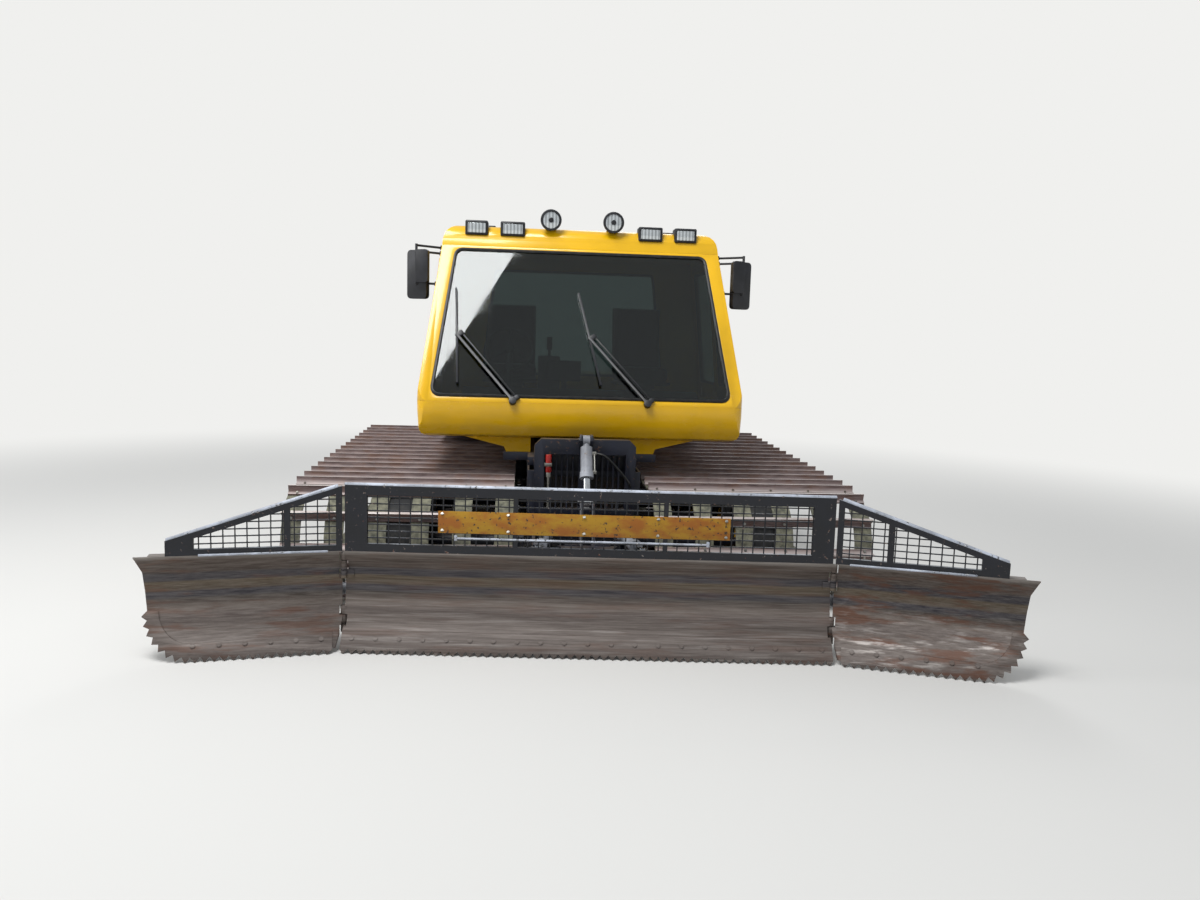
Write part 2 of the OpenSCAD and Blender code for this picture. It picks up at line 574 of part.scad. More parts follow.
// Ribs of the blade, then of a wing: place across, depth, foot height
blade_ribs = [[0.31, 72, 185], [0.61, 72, 185], [0.88, 32, 185]];
wing_ribs = [[0.23, 52, 215], [0.55, 52, 215], [0.78, 52, 215]];
// Long stiffeners behind the plate: lower edge, upper edge, how far back they reach
rails = [[410, 445, 48], [blade_h - 28, blade_h, 66]];
// Hinge barrels of a wing: foot and length, split in three, the middle third on the wing
knuckle_spots = [[90, 160], [420, 160]];
knuckle_r = 20;
knuckle_pin_r = 9;
knuckle_gap = 5;
notch = knuckle_r + 6;
function low(k) = [k[0], k[0] + k[1] * 0.3];
function middle(k) = [k[0] + k[1] * 0.3, k[0] + k[1] * 0.7];
function high(k) = [k[0] + k[1] * 0.7, k[0] + k[1]];
module rails_behind(x0, x1) for (r = rails)
  block([x0, face_at(r[0]) + 6, r[0]], [x1, face_at(r[0]) + r[2], r[1]]);
module blade_plate() difference() {
  union() {
    difference() {
      across(0, 2 * blade_half) polygon(layer(0, blade_t));
      along(-20, 200) translate([-blade_half - 1, -1]) square([2 * blade_half + 2, tooth_h + 3]);
    }
    intersection() {
      across(0, 2 * blade_half) polygon(layer(-edge_t, 0));
      along(-20, 200)
        polygon(concat(teeth(-blade_half, blade_half, 0), [[blade_half, edge_h], [-blade_half, edge_h]]));
    }
    rails_behind(10 - blade_half, blade_half - 10);
  }
  for (s = [-1, 1]) for (k = knuckle_spots) let (m = middle(k)) translate([s * wing_pivot_x, 0, m[0]])
    translate([-notch, -30, 0]) cube([2 * notch, 300, m[1] - m[0]]);
}
module wing_ram_lug() {
  for (k = [-1, 1]) translate([0, 0, k * (cheek_in + cheek_t / 2) - cheek_t / 2]) linear_extrude(height = cheek_t)
    polygon([[-60, -126], [60, -126], [30, 34], [-30, 34]]);
  cylinder(r = pin_r, h = 2 * cheek_in + cheek_t, center = true);
}
module blade_panel() color(blade_steel) machine() swung_blade() {
  translate([0, blade_y, 0]) {
    blade_plate();
    for (s = [-1, 1]) for (r = blade_ribs) across(s * r[0] * blade_half, rib_t) polygon(rib(r[2], r[1]));
    block([-200, 168, 250], [200, 240, 520]);
  }
  translate([0, head_y1 - 10, tilt_z]) rotate([90, 0, 0])
    cylinder(r = tilt_r, h = head_y1 - 10 - blade_y - 200);
  for (s = [-1, 1]) {
    translate([s * wing_ram_base[0], wing_ram_base[1], wing_ram_base[2]]) wing_ram_lug();
    for (k = knuckle_spots) translate([s * wing_pivot_x, wing_pivot_y, 0]) {
      for (z = [low(k), high(k)]) translate([0, 0, z[0]]) {
        cylinder(r = knuckle_r, h = z[1] - z[0]);
        translate([s > 0 ? -60 : 0, knuckle_r - 14, 0]) cube([60, 14, z[1] - z[0]]);
      }
      translate([0, 0, k[0]]) cylinder(r = knuckle_pin_r, h = k[1]);
    }
  }
}

// Guard above the blade: a frame with broad ends, posts and wire mesh
guard_y = blade_y + 112;
guard_t = 26;
guard_end = 137;
guard_foot = 48;
guard_head = 58;
guard_bays = 3;
guard_post = 26;
mesh_t = 6;
module mesh(w, h) {
  for (x = [mesh_x:mesh_x:w - 1]) translate([x - mesh_bar / 2, 0]) square([mesh_bar, h]);
  for (z = [mesh_z:mesh_z:h - 1]) translate([0, z - mesh_bar / 2]) square([w, mesh_bar]);
}
module blade_guard() color(guard_navy) machine() swung_blade() {
  open_w = 2 * (blade_half - guard_end);
  bay = (open_w - (guard_bays - 1) * guard_post) / guard_bays;
  open_h = guard_z - blade_h - guard_foot - guard_head;
  along(guard_y, guard_t) difference() {
    translate([6 - blade_half, blade_h]) square([2 * blade_half - 12, guard_z - blade_h]);
    for (i = [0:guard_bays - 1]) translate([guard_end - blade_half + i * (bay + guard_post), blade_h + guard_foot])
      square([bay, open_h]);
  }
  along(guard_y + guard_t / 2 - mesh_t / 2, mesh_t) for (i = [0:guard_bays - 1])
    translate([guard_end - blade_half - 6 + i * (bay + guard_post), blade_h + guard_foot - 6])
      mesh(bay + 12, open_h + 12);
}

// Wings in their own frame: pivot at the origin, the wing along +X
wing_in = hinge_gap;
fold_max = wing_fold + 10;
fold_clear = 5;
// Nearest that a point d ahead of the pivot may lie to it and still clear the blade when folded
function heel(d) = (d * sin(fold_max) - hinge_gap + fold_clear) / cos(fold_max);
heel_d = wing_pivot_back + edge_t;
knee_d = (wing_in * cos(fold_max) + hinge_gap - fold_clear) / sin(fold_max);
tip_drop = 95;
function wing_outline(d) = concat([[wing_in, d], [corner_x, d]],
  [for (i = [0:corner_teeth]) corner_tip(i, wing_corner - d)],
  [[wing_len - tip_hook - d * 0.2, blade_h - tip_drop],
   [wing_len, blade_h - 8], [wing_len, blade_h], [wing_in, blade_h]]);
function wing_teeth() = concat(teeth(heel(heel_d), corner_x, 0),
  [for (i = [0:corner_teeth - 1])
    each [corner_tip(i + 0.5, wing_corner), corner_tip(i + 1, wing_corner - tooth_h)]]);
function wing_band() = concat(wing_teeth(),
  [for (i = [corner_teeth:-1:0]) corner_tip(i, wing_corner - edge_h * 0.75)], [[heel(heel_d), edge_h]]);
module wing_plan() translate([0, 0, -1]) linear_extrude(height = blade_h + 50)
  polygon([[heel(heel_d), wing_pivot_back - heel_d - 10], [heel(heel_d), wing_pivot_back - heel_d],
           [wing_in, wing_pivot_back - knee_d], [wing_in, 260], [wing_len + 10, 260], [wing_len + 10, -60]]);
module wing_plate() translate([0, -wing_pivot_back, 0]) difference() {
  union() {
    intersection() {
      across(wing_len / 2, wing_len) polygon(layer(0, blade_t));
      along(-20, 260) polygon(wing_outline(tooth_h + 2));
      wing_plan();
    }
    intersection() {
      across(wing_len / 2, wing_len) polygon(layer(-edge_t, 0));
      along(-20, 260) polygon(wing_band());
      wing_plan();
    }
    for (r = wing_ribs) across(r[0] * wing_len, rib_t) polygon(rib(r[2], r[1]));
    rails_behind(72, wing_len - 70);
  }
  for (k = knuckle_spots) for (z = [low(k), high(k)])
    translate([-1, -30, z[0] - knuckle_gap]) cube([notch + 1, 300, z[1] - z[0] + 2 * knuckle_gap]);
}
module wing() difference() {
  union() {
    wing_plate();
    translate(wing_lug) {
      for (k = [-1, 1]) translate([0, 0, k * (cheek_in + cheek_t / 2) - cheek_t / 2]) linear_extrude(height = cheek_t)
        polygon([[-50, -110], [110, -110], [40, 20], [20, 34], [-24, 30]]);
      for (k = [-1, 1]) translate([0, 0, k * (cheek_in + cheek_t + 5) - 9]) cylinder(r = pin_r + 6, h = 18);
    }
    for (k = knuckle_spots) let (m = middle(k), h = m[1] - m[0] - 2 * knuckle_gap)
      translate([0, 0, m[0] + knuckle_gap]) {
        cylinder(r = knuckle_r, h = h);
        translate([0, knuckle_r - 14, 0]) cube([75, 14, h]);
      }
  }
  for (k = knuckle_spots) translate([0, 0, k[0] - 2 * knuckle_gap])
    cylinder(r = knuckle_pin_r + eye_gap, h = k[1] + 4 * knuckle_gap);
}
// Guard above a wing: a three-cornered frame that falls to a broad outer end, with one post
wg_tip = 165;
wg_tip_h = 88;
wg_plate = 150;
wg_bar = 36;
wg_post_x = 300;
wg_top = guard_z - 8;
function wg_roof(x) = wg_top - (x - wing_in) * (wg_top - blade_h - wg_tip_h) / (wing_len - wg_tip - wing_in);
module wing_guard() translate([0, face_at(blade_h) + 4 - wing_pivot_back, 0]) {
  x0 = wing_in + wg_bar;
  x1 = wing_len - wg_tip - wg_plate;
  along(0, guard_t) difference() {
    polygon([[wing_in, blade_h], [wing_len - wg_tip, blade_h],
             [wing_len - wg_tip, wg_roof(wing_len - wg_tip)], [wing_in, wg_top]]);
    polygon([[x0, blade_h + wg_bar], [wg_post_x, blade_h + wg_bar],
             [wg_post_x, wg_roof(wg_post_x) - wg_bar], [x0, wg_roof(x0) - wg_bar]]);
    polygon([[wg_post_x + wg_bar, blade_h + wg_bar], [x1, blade_h + wg_bar], [x1, wg_roof(x1) - wg_bar],
             [wg_post_x + wg_bar, wg_roof(wg_post_x + wg_bar) - wg_bar]]);
  }
  along(guard_t / 2 - mesh_t / 2, mesh_t) intersection() {
    translate([wing_in + 10, blade_h + wg_bar - 12]) mesh(wing_len, guard_z - blade_h);
    polygon([[x0 - 6, blade_h + wg_bar - 6], [x1 + 6, blade_h + wg_bar - 6], [x1 + 6, wg_roof(x1) - wg_bar + 6],
             [x0 - 6, wg_roof(x0) - wg_bar + 6]]);
  }
}
module at_wing() translate([wing_pivot_x, wing_pivot_y, 0]) rotate([0, 0, -wing_fold]) children();
module right_wing() color(blade_steel) machine() swung_blade() at_wing() wing();
module left_wing() color(blade_steel) machine() swung_blade() mirror([1, 0, 0]) at_wing() wing();
module right_wing_guard() color(guard_navy) machine() swung_blade() at_wing() wing_guard();
module left_wing_guard() color(guard_navy) machine() swung_blade() mirror([1, 0, 0]) at_wing() wing_guard();

// Cab shell, as the space common to a side outline, a front outline and a plan outline
belt_line = waist_z;
sill_z = waist_z + 135;
nose_crease_z = cab_floor_z + 110;
rake_y0 = nose_y;
rake_y1 = nose_y + 612;
rake = atan((rake_y1 - rake_y0) / (eave_z - belt_line));
cab_lean = atan((cab_half - cab_top_half) / (eave_z - waist_z));
function side_x(z) = cab_half - (z - waist_z) * (cab_half - cab_top_half) / (eave_z - waist_z);
function rake_at(z) = rake_y0 + (z - belt_line) * (rake_y1 - rake_y0) / (eave_z - belt_line);
brow_r = 110;
back_r = 90;
side_r = 130;
sill_r = 70;
nose_r = 90;
stern_r = 60;
function cab_side(in) = concat(
  [[nose_y + 110 + in * 0.4, cab_floor_z + in], [nose_y + 56 + in * 0.7, cab_floor_z + 20 + in * 0.7],
   [nose_y + 16 + in, nose_crease_z], [rake_y0 + in, belt_line], [rake_y1 + in, eave_z]],
  arc([rake_y1 + 20 + brow_r, roof_z - brow_r], brow_r - in, 180, 90, 5),
  arc([cab_back_y - back_r, roof_z - back_r], back_r - in, 90, 0, 4),
  [[cab_back_y - in, cab_floor_z + in]]);
function cab_front(in) = mirrored(concat(
  arc([cab_half - 17 - sill_r, cab_floor_z + sill_r], sill_r - in, -90, 0, 4),
  [[cab_half - in, waist_z], [cab_top_half - in, eave_z]],
  arc([side_x(roof_z - side_r) - side_r, roof_z - side_r], side_r - in, 6, 90, 5)));
function cab_plan(in) = mirrored(concat(
  arc([cab_half - nose_r, nose_y + nose_r], nose_r - in, -90, 0, 4),
  arc([cab_half - stern_r, cab_back_y - stern_r], stern_r - in, 0, 90, 4)));
module cab_solid(in) intersection() {
  across(0, 2 * cab_half + 2) polygon(cab_side(in));
  along(0, cab_back_y + 200) polygon(cab_front(in));
  translate([0, 0, cab_floor_z - 10]) linear_extrude(height = roof_z) polygon(cab_plan(in));
}
module cab_shell() difference() {
  cab_solid(0);
  cab_solid(cab_wall);
}
// A slice of the space around the cab, between two stations and two heights
side_out = cab_half + 70;
module cab_zone(y0, y1, z0, z1) block([-side_out, y0, z0], [side_out, y1, z1]);
cab_rear = cab_back_y + 100;

// Door and window openings
pillar_y = cab_back_y - door_w - 100;
door_y0 = pillar_y + 20;
door_y1 = door_y0 + door_w;
door_z0 = cab_floor_z + 90;
door_z1 = eave_z - 40;
door_gap = 7;
door_corner = 40;
pillar_w = 98;
seal_w = 30;
// Box outline with its corners cut off by c
function cut_box(y0, z0, y1, z1, c) = [[y0, z0 + c], [y0 + c, z0], [y1 - c, z0], [y1, z0 + c],
  [y1, z1 - c], [y1 - c, z1], [y0 + c, z1], [y0, z1 - c]];
// Box outline with rounded corners
function round_box(x0, z0, x1, z1, r) = concat(
  arc([x0 + r, z0 + r], r, 180, 270, 3), arc([x1 - r, z0 + r], r, 270, 360, 3),
  arc([x1 - r, z1 - r], r, 0, 90, 3), arc([x0 + r, z1 - r], r, 90, 180, 3));
module door_cut(g) both_sides() across(cab_half, 500)
  polygon(cut_box(door_y0 - g, door_z0 - g, door_y1 + g, door_z1 + g, door_corner));
module door_window() across(0, 2 * side_out)
  polygon(round_box(door_y0 + 60, sill_z, door_y1 - 60, door_z1 - 60, 45));
quarter_y1 = pillar_y - 40;
quarter_z0 = sill_z;
quarter_z1 = belt_line + (quarter_y1 - rake_y0 - pillar_w - 60) * (eave_z - belt_line) / (rake_y1 - rake_y0);
module quarter_window() across(0, 2 * side_out) polygon([
  [rake_at(quarter_z0) + pillar_w + 20, quarter_z0], [quarter_y1 - 20, quarter_z0], [quarter_y1, quarter_z0 + 20],
  [quarter_y1, quarter_z1 - 10], [quarter_y1 - 10, quarter_z1], [rake_at(quarter_z1) + pillar_w, quarter_z1],
  [rake_at(quarter_z0 + 30) + pillar_w, quarter_z0 + 30]]);
front_z0 = belt_line + seal_w + 8;
front_z1 = eave_z - 20;
front_r = 66;
module front_window() along(0, pillar_y) polygon(mirrored(concat(
  arc([side_x(front_z0) - pillar_w - front_r, front_z0 + front_r], front_r, -90, 6, 4),
  arc([side_x(front_z1) - pillar_w - front_r, front_z1 - front_r], front_r, 6, 90, 4))));
back_in = 385;
back_z0 = sill_z + 20;
back_z1 = eave_z - 100;
back_win_r = 45;
module back_window() along(cab_back_y - 200, 400) polygon(mirrored(concat(
  arc([side_x(back_z0) - back_in - back_win_r, back_z0 + back_win_r], back_win_r, -90, 6, 3),
  arc([side_x(back_z1) - back_in - back_win_r, back_z1 - back_win_r], back_win_r, 6, 90, 3))));

// Cab panels
deck_t = 60;
deck_z0 = tub_top_z;
deck_z1 = deck_z0 + deck_t;
// Feet under the cab: inner edge, outer bottom edge, foot of the slope, its outer end
foot_x = [380, 566, 582, 930];
foot_step = 38;
foot_len = 170;
module cab_lower() color(cab_yellow) machine() {
  difference() {
    intersection() {
      cab_shell();
      cab_zone(0, cab_rear, cab_floor_z - 20, belt_line);
    }
    door_cut(door_gap);
  }
  both_sides() for (y = [nose_y + 150, cab_back_y - 60 - foot_len]) along(y, foot_len) polygon([
    [foot_x[0], deck_z1], [foot_x[1], deck_z1], [foot_x[2], deck_z1 + foot_step],
    [foot_x[3], cab_floor_z + 8], [foot_x[0], cab_floor_z + 8]]);
}
module cab_front_frame() color(cab_yellow) machine() difference() {
  intersection() {
    cab_shell();
    cab_zone(0, pillar_y, belt_line, eave_z);
  }
  front_window();
  quarter_window();
}
hinge_r = 13;
door_pin_r = 6;
hinge_len = 40;
hinge_spots = [sill_z - 40, eave_z - 180];
module hinge_axis(z) translate([side_x(z) + 14, door_y0, z]) rotate([0, -cab_lean, 0]) children();
module cab_sides() color(cab_yellow) machine() {
  difference() {
    intersection() {
      cab_shell();
      cab_zone(pillar_y, cab_rear, belt_line, eave_z);
    }
    door_cut(door_gap);
    back_window();
  }
  both_sides() for (z = hinge_spots) hinge_axis(z) {
    cylinder(r = hinge_r, h = hinge_len);
    cylinder(r = door_pin_r, h = 2 * hinge_len + 4);
    block([-34, -18, 0], [0, -3, hinge_len]);
  }
}
module cab_roof() color(cab_yellow) machine() difference() {
  intersection() {
    cab_shell();
    cab_zone(0, cab_rear, eave_z, roof_z + 10);
  }
  brow_lamps();
}
glass_in = 14;
module glass_skin() difference() {
  cab_solid(glass_in);
  cab_solid(glass_in + glass_t);
}
module cab_windows() color(dark_glass) machine() {
  intersection() {
    glass_skin();
    front_window();
  }
  intersection() {
    glass_skin();
    quarter_window();
    cab_zone(rake_at(quarter_z0), pillar_y, belt_line, eave_z);
  }
  intersection() {
    glass_skin();
    back_window();
  }
}
module one_side() intersection() {
  children();
  block([0, 0, deck_z1], [side_out, cab_rear, roof_z]);
}
module door_skin() difference() {
  intersection() {
    cab_shell();
    door_cut(0);
  }
  door_window();
}
handle_z = sill_z - 105;
module door() {
  one_side() door_skin();
  for (z = hinge_spots) hinge_axis(z) translate([0, 0, hinge_len + 5]) difference() {
    union() {
      cylinder(r = hinge_r, h = hinge_len);
      block([-34, 2, 0], [0, 60, hinge_len]);
    }
    translate([0, 0, -1]) cylinder(r = door_pin_r + eye_gap, h = hinge_len + 20);
  }
  translate([side_x(handle_z), 0, handle_z]) rotate([0, -cab_lean, 0]) {
    for (y = [door_y1 - 215, door_y1 - 100]) block([-10, y, -7], [30, y + 22, 9]);
    block([18, door_y1 - 215, -7], [34, door_y1 - 78, 9]);
  }
}
module door_glass() intersection() {
  one_side() glass_skin();
  door_window();
}
module right_door() color(cab_yellow) machine() door();
module left_door() color(cab_yellow) machine() mirror([1, 0, 0]) door();
module right_door_glass() color(dark_glass) machine() door_glass();
module left_door_glass() color(dark_glass) machine() mirror([1, 0, 0]) door_glass();

// Seats and dashboard, standing on the cab's floor
seat_spots = [-560, 560];
seat_y = nose_y + 890;
cushion_z = cab_floor_z + 400;
base_r = 150;
inner_z = cab_floor_z + cab_wall;
module seat() {
  block([-240, 0, cushion_z], [240, 460, cushion_z + 140]);
  translate([0, 420, cushion_z + 70]) rotate([-10, 0, 0]) block([-230, 0, 0], [230, 110, 620]);
  translate([0, 80 + base_r, inner_z]) block([-base_r, -base_r, 0], [base_r, base_r, cushion_z - inner_z + 10]);
}
module seats() color(trim_black) machine() for (x = seat_spots) translate([x, seat_y, 0]) seat();
dash_w = 1800;
module dashboard() color(trim_black) machine() {
  across(0, dash_w) polygon([
    [nose_y + 100, waist_z - 30], [nose_y + 100, waist_z + 50], [nose_y + 250, waist_z + 105],
    [nose_y + 380, waist_z + 20], [nose_y + 330, waist_z - 20]]);
  block([-90, nose_y + 200, inner_z], [90, nose_y + 320, cab_floor_z + 270]);
  translate([seat_spots[0] + 330, seat_y + 60, inner_z]) block([-90, 0, 0], [90, 420, 560]);
}

// Lamps: boxes sunk in the brow, round spots on brackets, work lamps over the back wall
brow_y = rake_y1 + 8;
brow_z = [roof_z - 80, roof_z + 35];
// One row for each brow lamp: place across, width
brow_rows = [[-837, 180], [-552, 195], [552, 195], [837, 180]];
module brow_lamps() for (l = brow_rows) translate([l[0], 0, 0]) {
  along(brow_y, 130) polygon(round_box(-l[1] / 2, brow_z[0], l[1] / 2, brow_z[1], 16));
}
spot_x = 250;
spot_z = roof_z + 57;
spot_r = 84;
work_lamp = [170, 110, 100];
module roof_lamps() color([0.9, 0.9, 0.85]) machine() {
  brow_lamps();
  for (x = [-spot_x, spot_x]) translate([x, brow_y - 15, spot_z]) {
    rotate([-90, 0, 0]) cylinder(r = spot_r, h = 22);
    rotate([-90, 0, 0]) cylinder(r1 = spot_r - 8, r2 = spot_r - 26, h = 62);
    block([-30, 58, roof_z - spot_z], [30, 74, 20]);
    block([-45, 58, roof_z - spot_z], [45, 178, roof_z + 9 - spot_z]);
  }
  for (x = [-800, 800]) translate([x, cab_back_y - 90 - work_lamp[1], roof_z])
    along(0, work_lamp[1]) polygon(round_box(-work_lamp[0] / 2, 0, work_lamp[0] / 2, work_lamp[2], 14));
}

// Wipers: one row for each, with its place across and the lean of its blade
wiper_rows = [[-520, -3], [490, -12]];
wiper_at = 0;
wiper_lean = 1;
arm_angle = -39;
wiper_arm = 690;
wiper_half = 400;
module wipers() color(trim_black) machine() for (w = wiper_rows)
  translate([w[wiper_at], rake_y0, belt_line]) rotate([-rake, 0, 0]) {
    translate([0, 0, 10]) rotate([90, 0, 0]) cylinder(r = 28, h = 36);
    translate([0, 0, 10]) rotate([0, arm_angle, 0]) block([-9, -31, 0], [9, -20, wiper_arm]);
    translate([wiper_arm * sin(arm_angle), 0, 10 + wiper_arm * cos(arm_angle)]) rotate([0, w[wiper_lean], 0])
      block([-8, -27, -wiper_half], [8, -2, wiper_half]);
  }

// Mirrors: feet on the cab's side, two upper bars, a post, a lower bar and two heads
mirror_x = cab_half + 60;
mirror_y = nose_y + 500;
mirror_low = 2285;
mirror_top = eave_z - 25;
mirror_turn = 25;
module bar(p, q, r) let (d = q - p) translate(p) rotate([0, acos(d[2] / norm(d)), atan2(d[1], d[0])])
  cylinder(r = r, h = norm(d));
module mirror_bar(y, z) {
  translate([side_x(z), y, z]) rotate([0, -cab_lean, 0]) block([0, -24, -16], [12, 24, 16]);
  bar([side_x(z) + 6, y, z], [mirror_x, mirror_y, z], 9);
}
module mirror_set() {
  mirror_bar(rake_y1 + 34, mirror_top);
  mirror_bar(rake_y1 + 26, mirror_top - 45);
  mirror_bar(rake_at(mirror_low) + 70, mirror_low);
  translate([mirror_x, mirror_y, mirror_low - 12]) cylinder(r = 10, h = mirror_top - mirror_low + 24);
  translate([mirror_x, mirror_y, 0]) rotate([0, 0, mirror_turn]) {
    along(4, 45) polygon(round_box(-88, mirror_low - 120, 84, mirror_top - 35, 30));
    along(-40, 30) polygon(round_box(-124, mirror_low + 5, -12, mirror_top - 35, 22));
    block([-30, -14, mirror_low + 100], [0, 2, mirror_low + 130]);
  }
}
module mirrors() color(trim_black) machine() both_sides() mirror_set();

// Deck frame over the hull, with side floors and boxes, and the cover behind the front guard
deck_half = 585;
deck_y = [100, tub_back_y - 20];
deck_well = [[2060, 3100, 310], [300, 1900, tub_half - 60]];
side_floor = [[deck_half - 5, cab_back_y + 90, deck_z1 - 50], [side_out - 72, wheelbase + 310, deck_z1]];
side_box = [[640, cab_back_y + 260, deck_z1 - 5], [side_out - 102, wheelbase + 150, 1480]];
cover_half = 355;
cover_t = 10;
function cover_side(in) = [
  [tub_front_y + in, deck_z0 - (in > 0 ? 5 : 0)], [tub_front_y + in, deck_z1 + 50 - in * 0.4],
  [tub_front_y + 30 + in * 0.4, deck_z1 + 80 - in], [deck_y[0] + (in > 0 ? 5 : 8), deck_z1 + 80 - in],
  [deck_y[0] + (in > 0 ? 5 : 8), deck_z0 - (in > 0 ? 5 : 0)]];
module deck_frame() color(frame_navy) machine() {
  difference() {
    block([-deck_half, deck_y[0], deck_z0], [deck_half, deck_y[1], deck_z1]);
    for (w = deck_well) block([-w[2], w[0], deck_z0 - 5], [w[2], w[1], deck_z1 + 5]);
    both_sides() block([tub_half, deck_y[0] - 5, deck_z0 - 5], [deck_half + 5, nose_y + 120, deck_z1 + 5]);
  }
  difference() {
    across(0, 2 * cover_half) polygon(cover_side(0));
    across(0, 2 * (cover_half - cover_t)) polygon(cover_side(cover_t));
  }
  for (s = [-1, 1]) for (b = [side_floor, side_box])
    block([s > 0 ? b[0][0] : -b[1][0], b[0][1], b[0][2]], [s > 0 ? b[1][0] : -b[0][0], b[1][1], b[1][2]]);
  hood_hinge_pins();
}
// Brackets on the hull's back wall, for the lift arms, the rear rams and towing
bracket_y = tub_back_y - 4;
tow_x = 360;
tow_eye = [3662, 700];
tow_eye_r = 21;
module rear_brackets() {
  for (s = [-1, 1]) {
    for (k = [-1, 1]) across(s * lift_arm_x + k * 58, 24)
      polygon([[bracket_y, 370], [bracket_y, 530], [rear_hinge[0] + 20, 500],
               [rear_hinge[0] + 46, 450], [rear_hinge[0] + 20, 400]]);
    tube_x(s * lift_arm_x - 70, s * lift_arm_x + 70, rear_hinge[0], rear_hinge[1], lift_pin_r);
    for (k = [-1, 1]) across(s * rear_ram_x + k * (cheek_in + cheek_t / 2), cheek_t)
      polygon([[bracket_y, rear_base[1] - 80], [bracket_y, rear_base[1] + 25],
               [rear_base[0] + 20, rear_base[1] + 25],
               [rear_base[0] + 34, rear_base[1]], [rear_base[0] + 10, rear_base[1] - 35]]);
    tube_x(s * rear_ram_x - cheek_in - cheek_t, s * rear_ram_x + cheek_in + cheek_t,
           rear_base[0], rear_base[1], pin_r);
    difference() {
      across(s * tow_x, 30) polygon([[bracket_y, tow_eye[1] - 62], [bracket_y, tow_eye[1] + 62],
        [tow_eye[0] + 16, tow_eye[1] + 42], [tow_eye[0] + 40, tow_eye[1] + 16],
        [tow_eye[0] + 40, tow_eye[1] - 16], [tow_eye[0] + 16, tow_eye[1] - 42]]);
      tube_x(s * tow_x - 20, s * tow_x + 20, tow_eye[0], tow_eye[1], tow_eye_r);
    }
  }
}

// Lid over the engine, hinged along its rear bottom edge
hood_hinge = [3330, deck_z1 + 35];
hood_y0 = 2040;
hood_y1 = 3300;
hood_z1 = 1560;
hood_half = 560;
hood_t = 20;
hood_hinge_x = 440;
hood_pin_r = 8;
module engine_hood() color(cab_yellow) machine() {
  hood_shell();
  for (s = [-1, 1]) difference() {
    union() {
      tube_x(s * hood_hinge_x - 30, s * hood_hinge_x + 30, hood_hinge[0], hood_hinge[1], 2 * hood_pin_r);
      block([s * hood_hinge_x - 30, hood_y1 - 10, hood_hinge[1]],
            [s * hood_hinge_x + 30, hood_hinge[0], hood_hinge[1] + 12]);
    }
    tube_x(s * hood_hinge_x - 31, s * hood_hinge_x + 31, hood_hinge[0], hood_hinge[1], hood_pin_r + eye_gap);
  }
}
module hood_hinge_pins() for (s = [-1, 1]) {
  tube_x(s * hood_hinge_x - 60, s * hood_hinge_x + 60, hood_hinge[0], hood_hinge[1], hood_pin_r);
  for (k = [-1, 1]) across(s * hood_hinge_x + k * 48, 24) polygon([
    [hood_hinge[0] - 14, deck_z1 - 2], [hood_hinge[0] + 30, deck_z1 - 2],
    [hood_hinge[0] + 12, hood_hinge[1] + 12],
    [hood_hinge[0] - 12, hood_hinge[1] + 12]]);
}
module hood_shell() difference() {
  along(hood_y0, hood_y1 - hood_y0) polygon(mirrored([
    [hood_half, deck_z1 + 0.3], [hood_half, hood_z1 - 120], [hood_half - 90, hood_z1]]));
  along(hood_y0 + hood_t, hood_y1 - hood_y0 - 2 * hood_t) polygon(mirrored([
    [hood_half - hood_t, deck_z1 - 20], [hood_half - hood_t, hood_z1 - 130],
    [hood_half - 100, hood_z1 - hood_t]]));
  for (i = [0:7]) translate([0, hood_y0 + 260 + i * 100, 0])
    block([-hood_half - 40, 0, deck_z1 + 120], [hood_half + 40, 50, deck_z1 + 300]);
  for (i = [0:8])
    block([-380, hood_y1 - 60, deck_z1 + 90 + i * 36], [380, hood_y1 + 10, deck_z1 + 108 + i * 36]);
}
exhaust_at = [1050, cab_back_y + 145, deck_z1];
exhaust_r = 48;
exhaust_h = roof_z - 115 - deck_z1;
shield_r = 85;
module exhaust_stack() color([0.3, 0.28, 0.26]) machine() translate(exhaust_at) {
  difference() {
    cylinder(r = exhaust_r, h = exhaust_h);
    translate([0, 0, 60]) cylinder(r = exhaust_r - 6, h = exhaust_h);
  }
  translate([0, 0, 300]) difference() {
    cylinder(r = shield_r, h = 700);
    translate([0, 0, -1]) cylinder(r = exhaust_r - 2, h = 702);
  }
}

